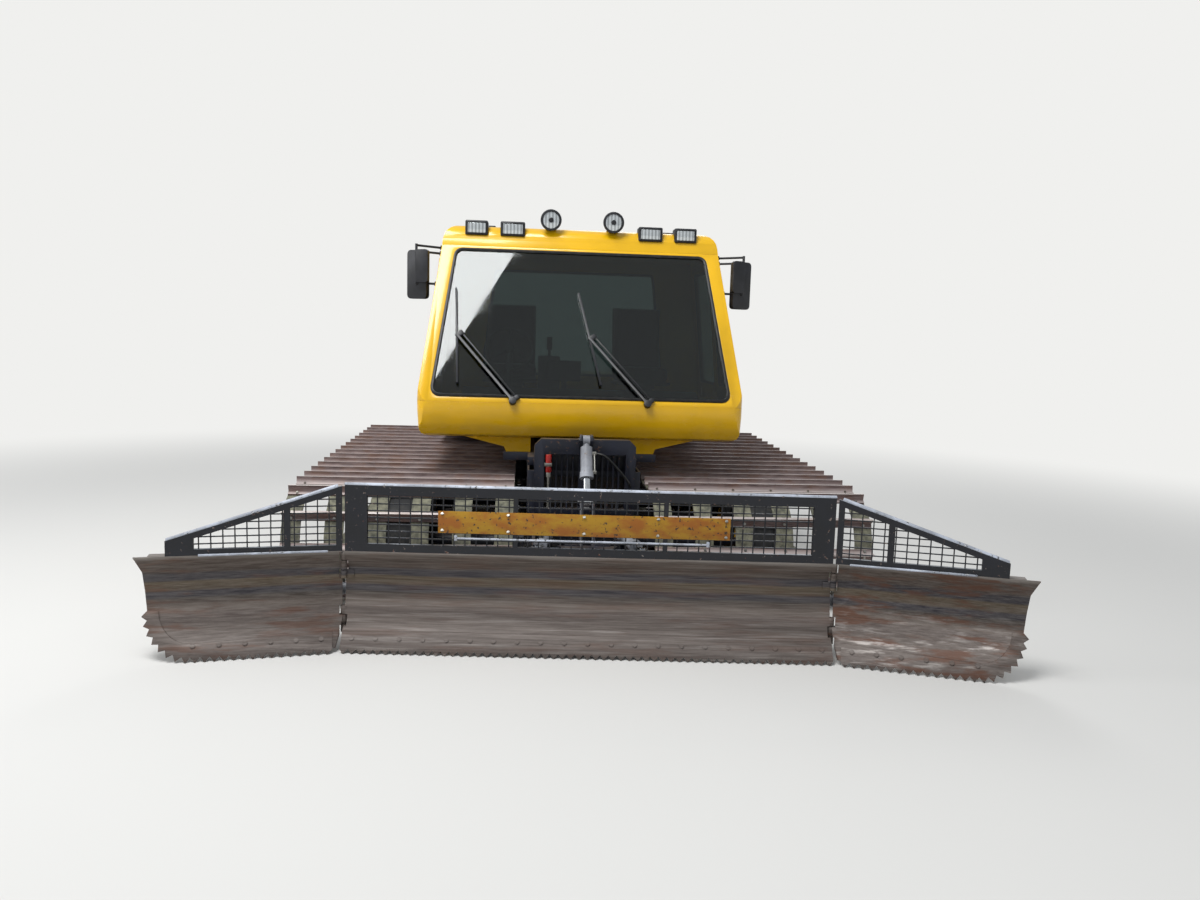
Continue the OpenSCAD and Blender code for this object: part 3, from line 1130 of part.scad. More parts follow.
// Rear lift frame and tiller
lift_arm_x = 300;
lift_pin_r = 24;
drum_z = tine_r + 8;
lift_back_y = tiller_y - 264;
tiller_head_half = 600;
module rear_lift() color(frame_navy) machine() {
  difference() {
    union() {
      for (s = [-1, 1]) {
        tube_x(s * lift_arm_x - 40, s * lift_arm_x + 40, rear_hinge[0], rear_hinge[1], 2 * lift_pin_r + 4);
        across(s * lift_arm_x, 70) polygon([[rear_hinge[0], 405], [rear_hinge[0], 495],
          [lift_back_y - 56, 520], [lift_back_y - 56, 400]]);
        for (k = [-1, 1]) across(s * rear_ram_x + k * (cheek_in + cheek_t / 2), cheek_t)
          polygon([[rear_pin[0] - 60, 500], [rear_pin[0] - 36, rear_pin[1] + 20],
                   [rear_pin[0] - 16, rear_pin[1] + 36], [rear_pin[0] + 16, rear_pin[1] + 36],
                   [rear_pin[0] + 36, rear_pin[1] + 20], [rear_pin[0] + 60, 500]]);
      }
      block([-lift_arm_x - 35, rear_pin[0] - 90, 400], [lift_arm_x + 35, lift_back_y - 56, 515]);
      block([-tiller_head_half, lift_back_y - 66, 380], [tiller_head_half, lift_back_y, 540]);
    }
    for (s = [-1, 1])
      tube_x(s * lift_arm_x - 41, s * lift_arm_x + 41, rear_hinge[0], rear_hinge[1], lift_pin_r + eye_gap);
  }
  for (s = [-1, 1]) pin_heads(s * rear_ram_x, rear_pin[0], rear_pin[1]);
}
shroud_r = 262;
shroud_t = 12;
comb_count = 40;
flap_y = tiller_y + shroud_r;
module tiller_housing() color(frame_navy) machine() {
  across(0, tiller_w) translate([tiller_y, drum_z]) polygon(concat(
    arc([0, 0], shroud_r, -5, 185, 16), arc([0, 0], shroud_r - shroud_t, 185, -5, 16)));
  for (s = [-1, 1]) across(s * (tiller_w / 2 - 10), 20) translate([tiller_y, drum_z])
    polygon(concat(arc([0, 0], shroud_r, -20, 200, 16), [[-200, -150], [200, -150]]));
  for (s = [-1, 1])
    tube_x(s > 0 ? tiller_w / 2 - 190 : -tiller_w / 2, s > 0 ? tiller_w / 2 : -tiller_w / 2 + 190,
           tiller_y, drum_z, 30);
  for (x = [-1400, -500, 500, 1400]) across(x, 30) translate([tiller_y, drum_z])
    polygon(concat(arc([0, 0], shroud_r - 2, 30, 150, 8), arc([0, 0], shroud_r + 50, 150, 30, 8)));
  block([-tiller_head_half, lift_back_y, 380], [tiller_head_half, lift_back_y + 64, 500]);
  across(0, tiller_w - 60) polygon([
    [flap_y - 14, drum_z + 10], [flap_y - 2, drum_z + 24],
    [flap_y + 110, 110], [rear_end_y, 12], [rear_end_y, 2], [flap_y + 100, 96]]);
  for (i = [0:comb_count]) across(-tiller_w / 2 + 50 + i * (tiller_w - 100) / comb_count, 22) polygon([
    [flap_y + 60, 150], [rear_end_y, 30], [rear_end_y, 2], [flap_y + 90, 100]]);
}
module tiller_rotor() color([0.45, 0.43, 0.40]) machine() translate([0, tiller_y, drum_z]) {
  difference() {
    tube_x(-tiller_w / 2 + 70, tiller_w / 2 - 70, 0, 0, drum_r);
    for (s = [-1, 1])
      tube_x(s > 0 ? tiller_w / 2 - 200 : -tiller_w / 2 + 60,
             s > 0 ? tiller_w / 2 - 60 : -tiller_w / 2 + 200, 0, 0, 30 + eye_gap);
  }
  for (i = [0:tine_rows - 1]) for (k = [0:2])
    translate([-tiller_w / 2 + 120 + i * (tiller_w - 240) / (tine_rows - 1), 0, 0]) rotate([k * 120 + i * 40, 0, 0])
      block([-12, -9, drum_r - 10], [12, 9, tine_r]);
}

tub();
front_guard();
engine_block();
axles();
road_tyres();
road_rims();
sprockets();
left_track();
right_track();
deck_frame();
engine_hood();
exhaust_stack();
cab_lower();
cab_front_frame();
cab_sides();
cab_roof();
cab_windows();
seats();
dashboard();
roof_lamps();
wipers();
mirrors();
left_door();
left_door_glass();
right_door();
right_door_glass();
push_frame();
swivel_head();
blade_panel();
blade_guard();
left_wing();
left_wing_guard();
right_wing();
right_wing_guard();
lift_barrel();
lift_rod();
left_angle_barrel();
left_angle_rod();
right_angle_barrel();
right_angle_rod();
left_wing_barrel();
left_wing_rod();
right_wing_barrel();
right_wing_rod();
rear_lift();
tiller_housing();
tiller_rotor();
rear_barrels();
rear_rods();
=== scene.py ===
"""Snow groomer: the finish of every surface, the glass and seals, the seats and the small fittings.

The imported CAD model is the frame. Sizes here are in millimetres from the front idler's axle, with X across,
-Y the front and Z up from the ground, as the CAD measures them; at() turns them to metres in its frame.
"""

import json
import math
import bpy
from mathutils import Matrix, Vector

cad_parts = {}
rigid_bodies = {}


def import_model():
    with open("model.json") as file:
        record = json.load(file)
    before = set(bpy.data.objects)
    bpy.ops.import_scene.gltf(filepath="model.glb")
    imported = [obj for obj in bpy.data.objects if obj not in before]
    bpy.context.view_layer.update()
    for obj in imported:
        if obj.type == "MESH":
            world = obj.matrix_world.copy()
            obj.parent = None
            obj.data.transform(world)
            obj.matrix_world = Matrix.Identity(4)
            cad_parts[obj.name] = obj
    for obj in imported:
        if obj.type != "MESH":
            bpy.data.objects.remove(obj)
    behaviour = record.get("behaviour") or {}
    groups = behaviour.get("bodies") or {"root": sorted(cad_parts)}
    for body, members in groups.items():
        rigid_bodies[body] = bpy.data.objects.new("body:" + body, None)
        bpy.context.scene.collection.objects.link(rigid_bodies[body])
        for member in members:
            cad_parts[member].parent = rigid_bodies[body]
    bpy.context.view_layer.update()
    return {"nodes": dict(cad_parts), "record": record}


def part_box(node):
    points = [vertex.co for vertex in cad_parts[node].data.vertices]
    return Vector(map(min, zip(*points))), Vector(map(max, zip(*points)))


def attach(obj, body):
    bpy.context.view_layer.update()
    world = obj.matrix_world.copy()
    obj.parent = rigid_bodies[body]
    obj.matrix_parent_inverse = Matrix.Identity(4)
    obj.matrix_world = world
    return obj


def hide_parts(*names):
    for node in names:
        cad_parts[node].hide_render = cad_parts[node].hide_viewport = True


bl_info = {
    "name": "Snow groomer",
    "version": (1, 1, 0),
    "blender": (4, 5, 0),
    "location": "View3D > Sidebar > Groomer",
    "description": "Dresses the packed model of a tracked snow groomer",
    "category": "Object",
}

from contextlib import contextmanager
from functools import partial

import bmesh
import bpy
from mathutils import Matrix, Vector

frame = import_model()
MM = 0.001

# The cab's nose stands 270 mm behind the idler's axle, and the cab stands on the machine's middle line
NOSE_Y = 270
cab_low, cab_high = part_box("cab_lower")
ORIGIN = Vector(((cab_low.x + cab_high.x) / 2, cab_low.y - NOSE_Y * MM, 0))


def at(x, y, z):
    """A place given in millimetres from the front axle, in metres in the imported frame."""
    return Vector((x * MM, y * MM, z * MM)) + ORIGIN


# Colours, shader nodes and patterns


def linear(text):
    """An sRGB hex colour, such as E8AE12, as the linear RGBA that a shader takes."""
    parts = [int(text[i : i + 2], 16) / 255 for i in (0, 2, 4)]
    return tuple(c / 12.92 if c <= 0.04045 else ((c + 0.055) / 1.055) ** 2.4 for c in parts) + (1.0,)


def shade(colour, factor):
    """The hex colour with its channels scaled."""
    return "".join("%02X" % min(255, round(int(colour[i : i + 2], 16) * factor)) for i in (0, 2, 4))


def hex_of(colour):
    """A colour property, which Blender keeps linear, as sRGB hex text."""
    parts = [12.92 * c if c <= 0.0031308 else 1.055 * c ** (1 / 2.4) - 0.055 for c in colour]
    return "".join("%02X" % round(255 * max(0, min(1, c))) for c in parts[:3])


# What nearly every node of a kind has here: its settings, and the output that is taken from it
USUAL = {"Math": {"operation": "MULTIPLY"}, "Mix": {"data_type": "RGBA"}}
TAKEN = {"Mix": 2}


def wire(tree, kind, inputs=None, out=None, stops=None, **settings):
    """Adds a shader node; inputs maps a socket to a value or an output, and stops fills a colour ramp."""
    node = tree.nodes.new("ShaderNode" + kind)
    for name, value in {**USUAL.get(kind, {}), **settings}.items():
        setattr(node, name, value)
    if stops:
        marks = node.color_ramp.elements
        while len(marks) < len(stops):
            marks.new(0.5)
        for mark, (place, colour) in zip(marks, stops):
            mark.position = place
            mark.color = linear(colour)
    for key, value in (inputs or {}).items():
        socket = node.inputs[key]
        if isinstance(value, bpy.types.NodeSocket):
            tree.links.new(value, socket)
        else:
            socket.default_value = linear(value) if isinstance(value, str) else value
    return node.outputs[TAKEN.get(kind, 0) if out is None else out] if node.outputs else node


def start(name):
    """An empty material, a function that adds nodes to it, and the object coordinates in metres."""
    made = bpy.data.materials.new(name)
    made.use_nodes = True
    made.node_tree.nodes.clear()
    add = partial(wire, made.node_tree)
    return made, add, add("TexCoord", out="Object")


def closed(made, add, inputs, height=None, depth_mm=0.1):
    """Ends a material: its relief, its shader and its output."""
    if height is not None:
        inputs["Normal"] = add("Bump", {"Height": height, "Distance": depth_mm * MM})
    add("OutputMaterial", {"Surface": add("BsdfPrincipled", inputs)})
    return made


def grain(add, place, size_mm, stretch=(1, 1, 1), detail=4.0, rough=0.55):
    """Noise whose patches are about size_mm across, drawn out along an axis whose stretch is under 1."""
    laid = add("Mapping", {"Vector": place, "Scale": stretch})
    inputs = {"Vector": laid, "Scale": 1 / (size_mm * MM), "Detail": detail, "Roughness": rough}
    return add("TexNoise", inputs)


def patches(add, place, size_mm, low, high, stretch=(1, 1, 1), detail=6.0, rough=0.6):
    """Noise cut to soft-edged patches, from 0 between them to 1 inside them."""
    inputs = {"Value": grain(add, place, size_mm, stretch, detail, rough), "From Min": low, "From Max": high}
    return add("MapRange", inputs, interpolation_type="SMOOTHSTEP")


def facing_up(add, low, high):
    """0 on walls and undersides, 1 on level faces that look up."""
    up = add("SeparateXYZ", {0: add("NewGeometry", out="Normal")}, out="Z")
    return add("MapRange", {"Value": up, "From Min": low, "From Max": high})


# Materials, each named for what the real one is


def sheet_enamel(name, colour, dust="A08C66", low_z=1.05, high_z=1.6):
    """Two-pack enamel on pressed steel: clear gloss, an even colour that dulls where splash and dust lie."""
    made, add, place = start(name)
    cloud = patches(add, place, 420, 0.35, 0.7, detail=3)
    tone = add("Mix", {0: cloud, 6: colour, 7: shade(colour, 0.94)})
    z = add("SeparateXYZ", {0: place}, "Z")
    low = add("MapRange", {"Value": z, "From Min": high_z, "From Max": low_z})
    splash = add("Math", {0: patches(add, place, 220, 0.45, 0.8, (0.4, 1, 1), 8), 1: low})
    splash = add("Math", {0: splash, 1: 0.3})
    level = add("Math", {0: facing_up(add, 0.6, 1.0), 1: 0.22})
    film = add("Math", {0: splash, 1: level}, operation="MAXIMUM")
    base = add("Mix", {0: film, 6: tone, 7: dust})
    # Fine scratches from branches and brushes, drawn 4 mm wide so that they show
    scratch = patches(add, place, 4, 0.66, 0.74, (0.03, 0.4, 1), 2)
    base = add("Mix", {0: add("Math", {0: scratch, 1: 0.25}), 6: base, 7: shade(colour, 1.15)})
    rough = add("Math", {0: film, 1: 0.9, 2: 0.24}, operation="MULTIPLY_ADD")
    inputs = {"Base Color": base, "Roughness": rough, "Coat Weight": 0.25, "Coat Roughness": 0.08}
    return closed(made, add, inputs, grain(add, place, 3, detail=1), 0.02)


def machine_paint(name, colour, bare="6B5A4B", rust="5A3320", wear=0.5, dust="8A7A66", film=0.35,
                  tread=False):
    """Brushed paint on welded plate: dull, with chips down to rusted steel and a colour on level faces: dust,
    and on the guard a pale painted highlight of the lit tops with some wear.
    """
    made, add, place = start(name)
    cloud = patches(add, place, 150, 0.35, 0.7, detail=4)
    tone = add("Mix", {0: cloud, 6: colour, 7: shade(colour, 1.35)})
    rusty = add("Mix", {0: patches(add, place, 9, 0.4, 0.6), 6: bare, 7: rust})
    edge = 0.66 - 0.1 * wear
    chips = patches(add, place, 28, edge, edge + 0.035, detail=9, rough=0.7)
    worn = add("Mix", {0: chips, 6: tone, 7: rusty})
    # Level faces take the dust colour; on the guard it is pale, a painted highlight of the lit tops with some
    # wear
    dust_and_highlight_mask = add("Math", {0: facing_up(add, 0.5, 1.0), 1: film})
    dust_and_highlight_mask = add("Math", {0: dust_and_highlight_mask, 1: patches(add, place, 170, 0.15, 0.85, detail=3)})
    base = add("Mix", {0: dust_and_highlight_mask, 6: worn, 7: dust})
    rough = add("Math", {0: chips, 1: 0.35, 2: 0.42}, operation="MULTIPLY_ADD")
    relief = add("Math", {0: grain(add, place, 12, detail=3), 1: chips}, operation="SUBTRACT")
    depth = 0.25
    if tread:
        # Raised diamonds of tread plate, 40 mm apart, on the faces that are walked on
        turned = add("Mapping", {"Vector": place, "Rotation": (0, 0, 0.785), "Scale": (1, 1, 0.001)})
        cells = add("TexVoronoi", {"Vector": turned, "Scale": 1 / (28 * MM), "Randomness": 0.0}, "Distance")
        stud = add("MapRange", {"Value": cells, "From Min": 0.3, "From Max": 0.2})
        stud = add("Math", {0: stud, 1: facing_up(add, 0.8, 1.0)})
        relief = add("Math", {0: stud, 1: 8.0, 2: relief}, operation="MULTIPLY_ADD")
    return closed(made, add, {"Base Color": base, "Roughness": rough}, relief, depth)


# Height of the blade's plate, and the old paint bands up it, as [share of that height, colour]; the pale band
# at the very top is a painted highlight along the plate's top edge
PLATE_HEIGHT = 590
BLADE_BANDS = [
    (0.0, "3A3330"), (0.06, "5C534F"), (0.26, "5E5550"), (0.40, "564C48"), (0.47, "6F655E"),
    (0.52, "4A403A"), (0.56, "3A342F"), (0.58, "20232E"), (0.63, "1C2030"), (0.65, "4C4030"),
    (0.73, "55472F"), (0.75, "191D2C"), (0.81, "171B2A"), (0.83, "40352E"), (0.95, "4A3E36"),
    # The last band, pale, is a painted highlight on the plate's top edge
    (0.985, "8C8680"),
]


def scoured_plate(name, rusty, pale):
    """Blade plate scoured by snow and gravel: streaks, bands of old paint, a painted highlight along the top
    edge, rust and bright scrapes.
    """
    made, add, place = start(name)
    z = add("SeparateXYZ", {0: place}, "Z")
    wander = grain(add, place, 260, (0.35, 0.35, 1), 3)
    wander = add("Math", {0: wander, 1: 0.03, 2: -0.015}, operation="MULTIPLY_ADD")
    level = add("Math", {0: z, 1: wander}, operation="ADD")
    level = add("Math", {0: level, 1: PLATE_HEIGHT * MM}, operation="DIVIDE")
    bands = add("ValToRGB", {"Fac": level}, stops=BLADE_BANDS)
    # Scrapes run along the plate; 9 mm wide ones carry the tone and 3 mm ones the grit
    streak = grain(add, place, 9, (0.02, 0.3, 1), 5, 0.7)
    soft = add("MapRange", {"Value": streak, "From Min": 0.35, "From Max": 0.72})
    scraped = add("Mix", {0: soft, 6: "463B36", 7: "A89F98"})
    base = add("Mix", {0: 0.3, 6: bands, 7: scraped})
    rust = add("Math", {0: patches(add, place, 60, 0.5, 0.64, (0.1, 0.4, 1), 7), 1: rusty})
    base = add("Mix", {0: rust, 6: base, 7: "5F3C2A"})
    bright = add("Math", {0: patches(add, place, 26, 0.52, 0.7, (0.035, 0.4, 1)), 1: pale})
    low = add("MapRange", {"Value": z, "From Min": 0.40, "From Max": 0.15})
    bright = add("Math", {0: bright, 1: low})
    base = add("Mix", {0: bright, 6: base, 7: "A39C97"})
    grit = add("Math", {0: patches(add, place, 3, 0.55, 0.8, (0.03, 0.5, 1), 3), 1: 0.35})
    base = add("Mix", {0: grit, 6: base, 7: "3A302C"})
    rough = add("Math", {0: bright, 1: -0.25, 2: 0.6}, operation="MULTIPLY_ADD")
    return closed(made, add, {"Base Color": base, "Roughness": rough, "Metallic": 0.25}, streak, 0.5)


def rolled_steel(name, low="4F3F3E", high="857370", rust="6A4630", top="C2B8B5"):
    """Hot-rolled cleat steel: mauve-brown scale, a painted highlight on the faces that look up, rust in the
    foot.
    """
    made, add, place = start(name)
    scale = grain(add, place, 18, (0.15, 1, 1), 6, 0.65)
    soft = add("MapRange", {"Value": scale, "From Min": 0.3, "From Max": 0.7})
    tone = add("Mix", {0: soft, 6: low, 7: high})
    blot = add("Math", {0: patches(add, place, 160, 0.45, 0.65, detail=4), 1: 0.45})
    tone = add("Mix", {0: blot, 6: tone, 7: rust})
    # Faces that look up turn to the top colour, a painted highlight of light from above
    lit = add("Math", {0: facing_up(add, 0.3, 0.9), 1: 0.75})
    tone = add("Mix", {0: lit, 6: tone, 7: top})
    return closed(made, add, {"Base Color": tone, "Metallic": 0.3, "Roughness": 0.58}, scale, 0.4)


def belting(name):
    """Fabric-reinforced rubber belt: grey-olive with dried mud, ribbed along its run about 12 mm apart."""
    made, add, place = start(name)
    mud = patches(add, place, 45, 0.28, 0.75, detail=8)
    tone = add("Mix", {0: mud, 6: "4A4B42", 7: "85836F"})
    ribs = add("TexWave", {"Vector": place, "Scale": 1 / (12 * MM) / 6.283}, bands_direction="X")
    relief = add("Math", {0: ribs, 1: grain(add, place, 10)}, operation="ADD")
    return closed(made, add, {"Base Color": tone, "Roughness": 0.86}, relief, 0.7)


def cured_rubber(name, colour, rough, grain_mm):
    """Moulded tyre or seal rubber: near black with a soft sheen, greyer where it is scuffed."""
    made, add, place = start(name)
    worn = add("Math", {0: patches(add, place, 45, 0.45, 0.7), 1: 0.5})
    tone = add("Mix", {0: worn, 6: colour, 7: "3A3732"})
    return closed(made, add, {"Base Color": tone, "Roughness": rough}, grain(add, place, grain_mm), 0.15)


def moulded_plastic(name, colour="15161A", rough=0.42):
    """Black ABS with a leather grain near 2 mm, drawn at 4 mm so that it shows."""
    made, add, place = start(name)
    fade = patches(add, place, 90, 0.4, 0.7)
    tone = add("Mix", {0: fade, 6: colour, 7: shade(colour, 1.5)})
    cells = add("TexVoronoi", {"Vector": place, "Scale": 1 / (4 * MM)}, "Distance")
    return closed(made, add, {"Base Color": tone, "Roughness": rough}, cells, 0.12)


def cab_glass(name):
    """Laminated green-tinted glass, 6 mm: dark against the shaded cab, with a film of dust."""
    made, add, place = start(name)
    film = patches(add, place, 240, 0.45, 0.8)
    rough = add("Math", {0: film, 1: 0.05, 2: 0.015}, operation="MULTIPLY_ADD")
    inputs = {"Base Color": "63706E", "Roughness": rough, "Transmission Weight": 1.0, "IOR": 1.52}
    return closed(made, add, inputs)


def machined_steel(name, colour, rough, amount=0.5):
    """Hard-chromed, ground or zinc-plated steel under a light grime."""
    made, add, place = start(name)
    dirt = add("Math", {0: patches(add, place, 60, 0.5, 0.75), 1: amount})
    tone = add("Mix", {0: dirt, 6: colour, 7: "6A655E"})
    sheen = add("Math", {0: dirt, 1: 0.6, 2: rough}, operation="MULTIPLY_ADD")
    inputs = {"Base Color": tone, "Metallic": 1.0, "Roughness": sheen}
    return closed(made, add, inputs, grain(add, place, 2.5, detail=2), 0.02)


def lamp_lens(name):
    """Fluted clear lens over a bright reflector, with flutes 14 mm apart."""
    made, add, place = start(name)
    flutes = add("TexWave", {"Vector": place, "Scale": 1 / (14 * MM) / 6.283}, bands_direction="X")
    pale = add("Mix", {0: flutes, 6: "9CA0A1", 7: "D9DEE0"})
    inputs = {"Base Color": pale, "Roughness": 0.12, "Metallic": 0.55, "Coat Weight": 1.0}
    return closed(made, add, inputs, flutes, 1.2)


def woven_seat(name):
    """Black polyester seat cloth with a 3 mm weave, drawn at 5 mm so that it shows."""
    made, add, place = start(name)
    warp = add("TexWave", {"Vector": place, "Scale": 1 / (5 * MM) / 6.283}, bands_direction="X")
    weft = add("TexWave", {"Vector": place, "Scale": 1 / (5 * MM) / 6.283}, bands_direction="Z")
    weave = add("Math", {0: warp, 1: weft})
    tone = add("Mix", {0: weave, 6: "1C1D20", 7: "3A3C42"})
    return closed(made, add, {"Base Color": tone, "Roughness": 0.9, "Sheen Weight": 0.3}, weave, 0.6)


def weathered_strip(name):
    """A painted marker strip, orange worn to yellow with dark chips."""
    made, add, place = start(name)
    fade = patches(add, place, 70, 0.35, 0.65, (0.5, 1, 1))
    tone = add("Mix", {0: fade, 6: "96580F", 7: "A87E14"})
    chips = patches(add, place, 22, 0.6, 0.64, detail=8)
    tone = add("Mix", {0: chips, 6: tone, 7: "3A2C22"})
    return closed(made, add, {"Base Color": tone, "Roughness": 0.6}, chips, -0.2)


MATERIALS = {}


def make_materials():
    colours = bpy.context.scene.groomer_colours
    MATERIALS.update(
        enamel=sheet_enamel("yellow_enamel", hex_of(colours.cab)),
        navy=machine_paint("navy_frame_paint", hex_of(colours.frame)),
        deck=machine_paint("tread_plate_paint", hex_of(colours.frame), tread=True),
        # The guard's pale colour on level faces is a painted highlight of its lit tops, with some wear
        guard=machine_paint("navy_guard_paint", hex_of(colours.guard), "8C8580", wear=0.45, dust="A9AEB6",
                            film=0.8),
        # Pale paint of the guard's rails: wear, and a painted highlight of their lit tops
        rail=machine_paint("worn_rail_paint_and_painted_highlight", "9398A2", bare="C2C4C8", rust="2A2E3A", wear=1.0, film=0.1),
        blade=scoured_plate("scoured_blade_steel", 0.25, 0.4),
        dull_wing=scoured_plate("dull_wing_steel", 0.55, 0.2),
        rusty_wing=scoured_plate("rusty_wing_steel", 0.8, 0.9),
        cleat=rolled_steel("cleat_steel"),
        # Cleat tips: pale from polish, and a painted highlight of their lit edges
        ridge=rolled_steel("polished_cleat_tip_and_painted_highlight", "9A8D89", "CBC3BF", "8A6A55", "D6CFCB"),
        belt=belting("track_belting"),
        tyre=cured_rubber("tyre_rubber", "17181A", 0.75, 8),
        seal=cured_rubber("window_seal_rubber", "0C0D0E", 0.45, 3),
        hose=cured_rubber("hose_rubber", "0F1011", 0.5, 3),
        rim=sheet_enamel("rim_enamel", "C79A28", dust="7A6B50", low_z=0.3, high_z=0.9),
        nylon=moulded_plastic("sprocket_nylon", "1A1B1C", 0.5),
        iron=machine_paint("engine_iron", "3A3430", wear=0.8),
        exhaust=machined_steel("exhaust_steel", "7A7068", 0.4),
        ram=machine_paint("ram_grey_paint", "7C7E84", bare="9A9A98", wear=0.5, dust="7A7468"),
        rod=machined_steel("chromed_rod", "C9CCD0", 0.1),
        zinc=machined_steel("zinc_plated_bolts", "A3A19A", 0.35),
        glass=cab_glass("cab_glass"),
        trim=moulded_plastic("black_trim"),
        lens=lamp_lens("lamp_lens"),
        seat=woven_seat("seat_cloth"),
        tine=rolled_steel("tine_steel", "4E443F", "857A70"),
        mirror=machined_steel("mirror_glass", "D8DCDE", 0.03, amount=0.15),
        red=sheet_enamel("red_lens", "A01C14", low_z=0.2, high_z=0.5),
        strip=weathered_strip("marker_strip_paint"),
    )


# Making pieces


def only(piece):
    """Selects one object alone and makes it active."""
    bpy.ops.object.select_all(action="DESELECT")
    piece.select_set(True)
    bpy.context.view_layer.objects.active = piece


@contextmanager
def editing(piece, test=lambda face: True):
    """Edit mode on one object, with the faces that pass the test selected."""
    only(piece)
    bpy.ops.object.mode_set(mode="EDIT")
    bpy.ops.mesh.select_mode(type="FACE")
    bpy.ops.mesh.select_all(action="DESELECT")
    mesh = bmesh.from_edit_mesh(piece.data)
    for face in mesh.faces:
        face.select_set(bool(test(face)))
    mesh.select_flush(False)
    bmesh.update_edit_mesh(piece.data)
    yield
    bpy.ops.object.mode_set(mode="OBJECT")


def settled(piece):
    """The piece with its place and turn taken into its mesh."""
    only(piece)
    bpy.ops.object.transform_apply(location=True, rotation=True, scale=True)
    return piece


def box_form(low, high, round_mm, segments=2):
    """A box from corner to corner, in millimetres, with its edges rounded."""
    a, b = at(*low), at(*high)
    bpy.ops.mesh.primitive_cube_add(size=1, location=(a + b) / 2)
    piece = bpy.context.active_object
    piece.scale = b - a
    settled(piece)
    with editing(piece):
        bpy.ops.mesh.bevel(offset=round_mm * MM, segments=segments, affect="EDGES")
    return piece


def round_form(start_at, end_at, radius_mm, sides, round_mm=0.0):
    """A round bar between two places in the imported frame, its rims rounded."""
    run = Vector(end_at) - Vector(start_at)
    bpy.ops.mesh.primitive_cylinder_add(
        radius=radius_mm * MM,
        depth=run.length,
        vertices=sides,
        location=(Vector(start_at) + Vector(end_at)) / 2,
        rotation=run.to_track_quat("Z", "Y").to_euler(),
    )
    piece = settled(bpy.context.active_object)
    if round_mm:
        with editing(piece, lambda face: len(face.verts) > 4):
            bpy.ops.mesh.region_to_loop()
            bpy.ops.mesh.bevel(offset=round_mm * MM, segments=2, affect="EDGES")
    return piece


def bar(start_at, end_at, *form):
    """A round bar between two places in millimetres from the front axle."""
    return round_form(at(*start_at), at(*end_at), *form)


def recess(piece, direction, margin_mm, depth_mm):
    """Insets the faces that look along a direction and pushes them in, as a rim round a lens or lid."""
    way = Vector(direction)
    with editing(piece, lambda face: face.normal.dot(way) > 0.95):
        bpy.ops.mesh.inset(thickness=margin_mm * MM, depth=0)
        bpy.ops.mesh.extrude_region_shrink_fatten(TRANSFORM_OT_shrink_fatten={"value": -depth_mm * MM})
    return piece


def joined(pieces):
    """Several forms made one object, the first."""
    bpy.ops.object.select_all(action="DESELECT")
    for piece in pieces:
        piece.select_set(True)
    bpy.context.view_layer.objects.active = pieces[0]
    if len(pieces) > 1:
        bpy.ops.object.join()
    return pieces[0]


def copied(piece, turn):
    """A copy with its own mesh, moved by a matrix."""
    twin = bpy.data.objects.new(piece.name, piece.data.copy())
    bpy.context.scene.collection.objects.link(twin)
    twin.data.transform(turn)
    return twin


def repeated(piece, places):
    """One mesh that holds the form once at each of many places, given as matrices."""
    gathered = bmesh.new()
    for place in places:
        twin = piece.data.copy()
        twin.transform(place)
        gathered.from_mesh(twin)
        bpy.data.meshes.remove(twin)
    gathered.to_mesh(piece.data)
    gathered.free()
    return piece


def mirrored(piece):
    """The piece's twin on the machine's other side, its faces turned outwards again."""
    flip = Matrix.Translation((2 * ORIGIN.x, 0, 0)) @ Matrix.Scale(-1, 4, (1, 0, 0))
    twin = copied(piece, flip)
    twin.data.flip_normals()
    return twin


def with_twin(piece):
    return joined([piece, mirrored(piece)])


def body_of(node):
    return next(body for body, nodes in frame["record"]["behaviour"]["bodies"].items() if node in nodes)


def coat(data, material):
    """Gives a mesh its one finish."""
    data.materials.clear()
    data.materials.append(MATERIALS[material])


def finished(piece, name, node, material, replaces=(), smooth=30):
    """Applies modifiers, names the piece, gives it its finish and lets it ride where its CAD node rides."""
    settled(piece)
    for modifier in list(piece.modifiers):
        bpy.ops.object.modifier_apply(modifier=modifier.name)
    bpy.ops.object.shade_smooth_by_angle(angle=math.radians(smooth))
    piece.name = name
    piece.data.name = name
    coat(piece.data, material)
    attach(piece, body_of(node))
    if replaces:
        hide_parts(*replaces)
    return piece


def cad_copy(node):
    """A copy of a CAD node's mesh, its loose triangles merged to whole faces."""
    source = frame["nodes"][node]
    piece = bpy.data.objects.new(node + "_form", source.data.copy())
    bpy.context.scene.collection.objects.link(piece)
    with editing(piece):
        bpy.ops.mesh.remove_doubles(threshold=0.02 * MM)
        bpy.ops.mesh.dissolve_limited(angle_limit=math.radians(0.5))
    return piece


def softened(node, width_mm, material, segments=2):
    """A CAD node's form with its sharp edges rounded, as pressed sheet and welded plate have them."""
    piece = cad_copy(node)
    bevel = piece.modifiers.new("rounding", "BEVEL")
    bevel.width = width_mm * MM
    bevel.segments = segments
    bevel.limit_method = "ANGLE"
    bevel.angle_limit = math.radians(30)
    return finished(piece, node + "_finished", node, material, (node,), smooth=40)


def hex_heads(places, size_mm, height_mm):
    """Bolt heads on washers, standing along the z axis of each place."""
    bpy.ops.mesh.primitive_cylinder_add(radius=size_mm * MM * 0.62, depth=3 * MM, vertices=8,
                                        location=(0, 0, 1.5 * MM))
    washer = settled(bpy.context.active_object)
    bpy.ops.mesh.primitive_cylinder_add(radius=size_mm * MM / 2, depth=height_mm * MM, vertices=6,
                                        location=(0, 0, (height_mm / 2 + 2) * MM))
    return repeated(joined([washer, settled(bpy.context.active_object)]), places)


def turn_at(place, degrees, axis):
    """A turn about an axis, and then a move from the origin to a place."""
    return Matrix.Translation(place) @ Matrix.Rotation(math.radians(degrees), 4, axis)


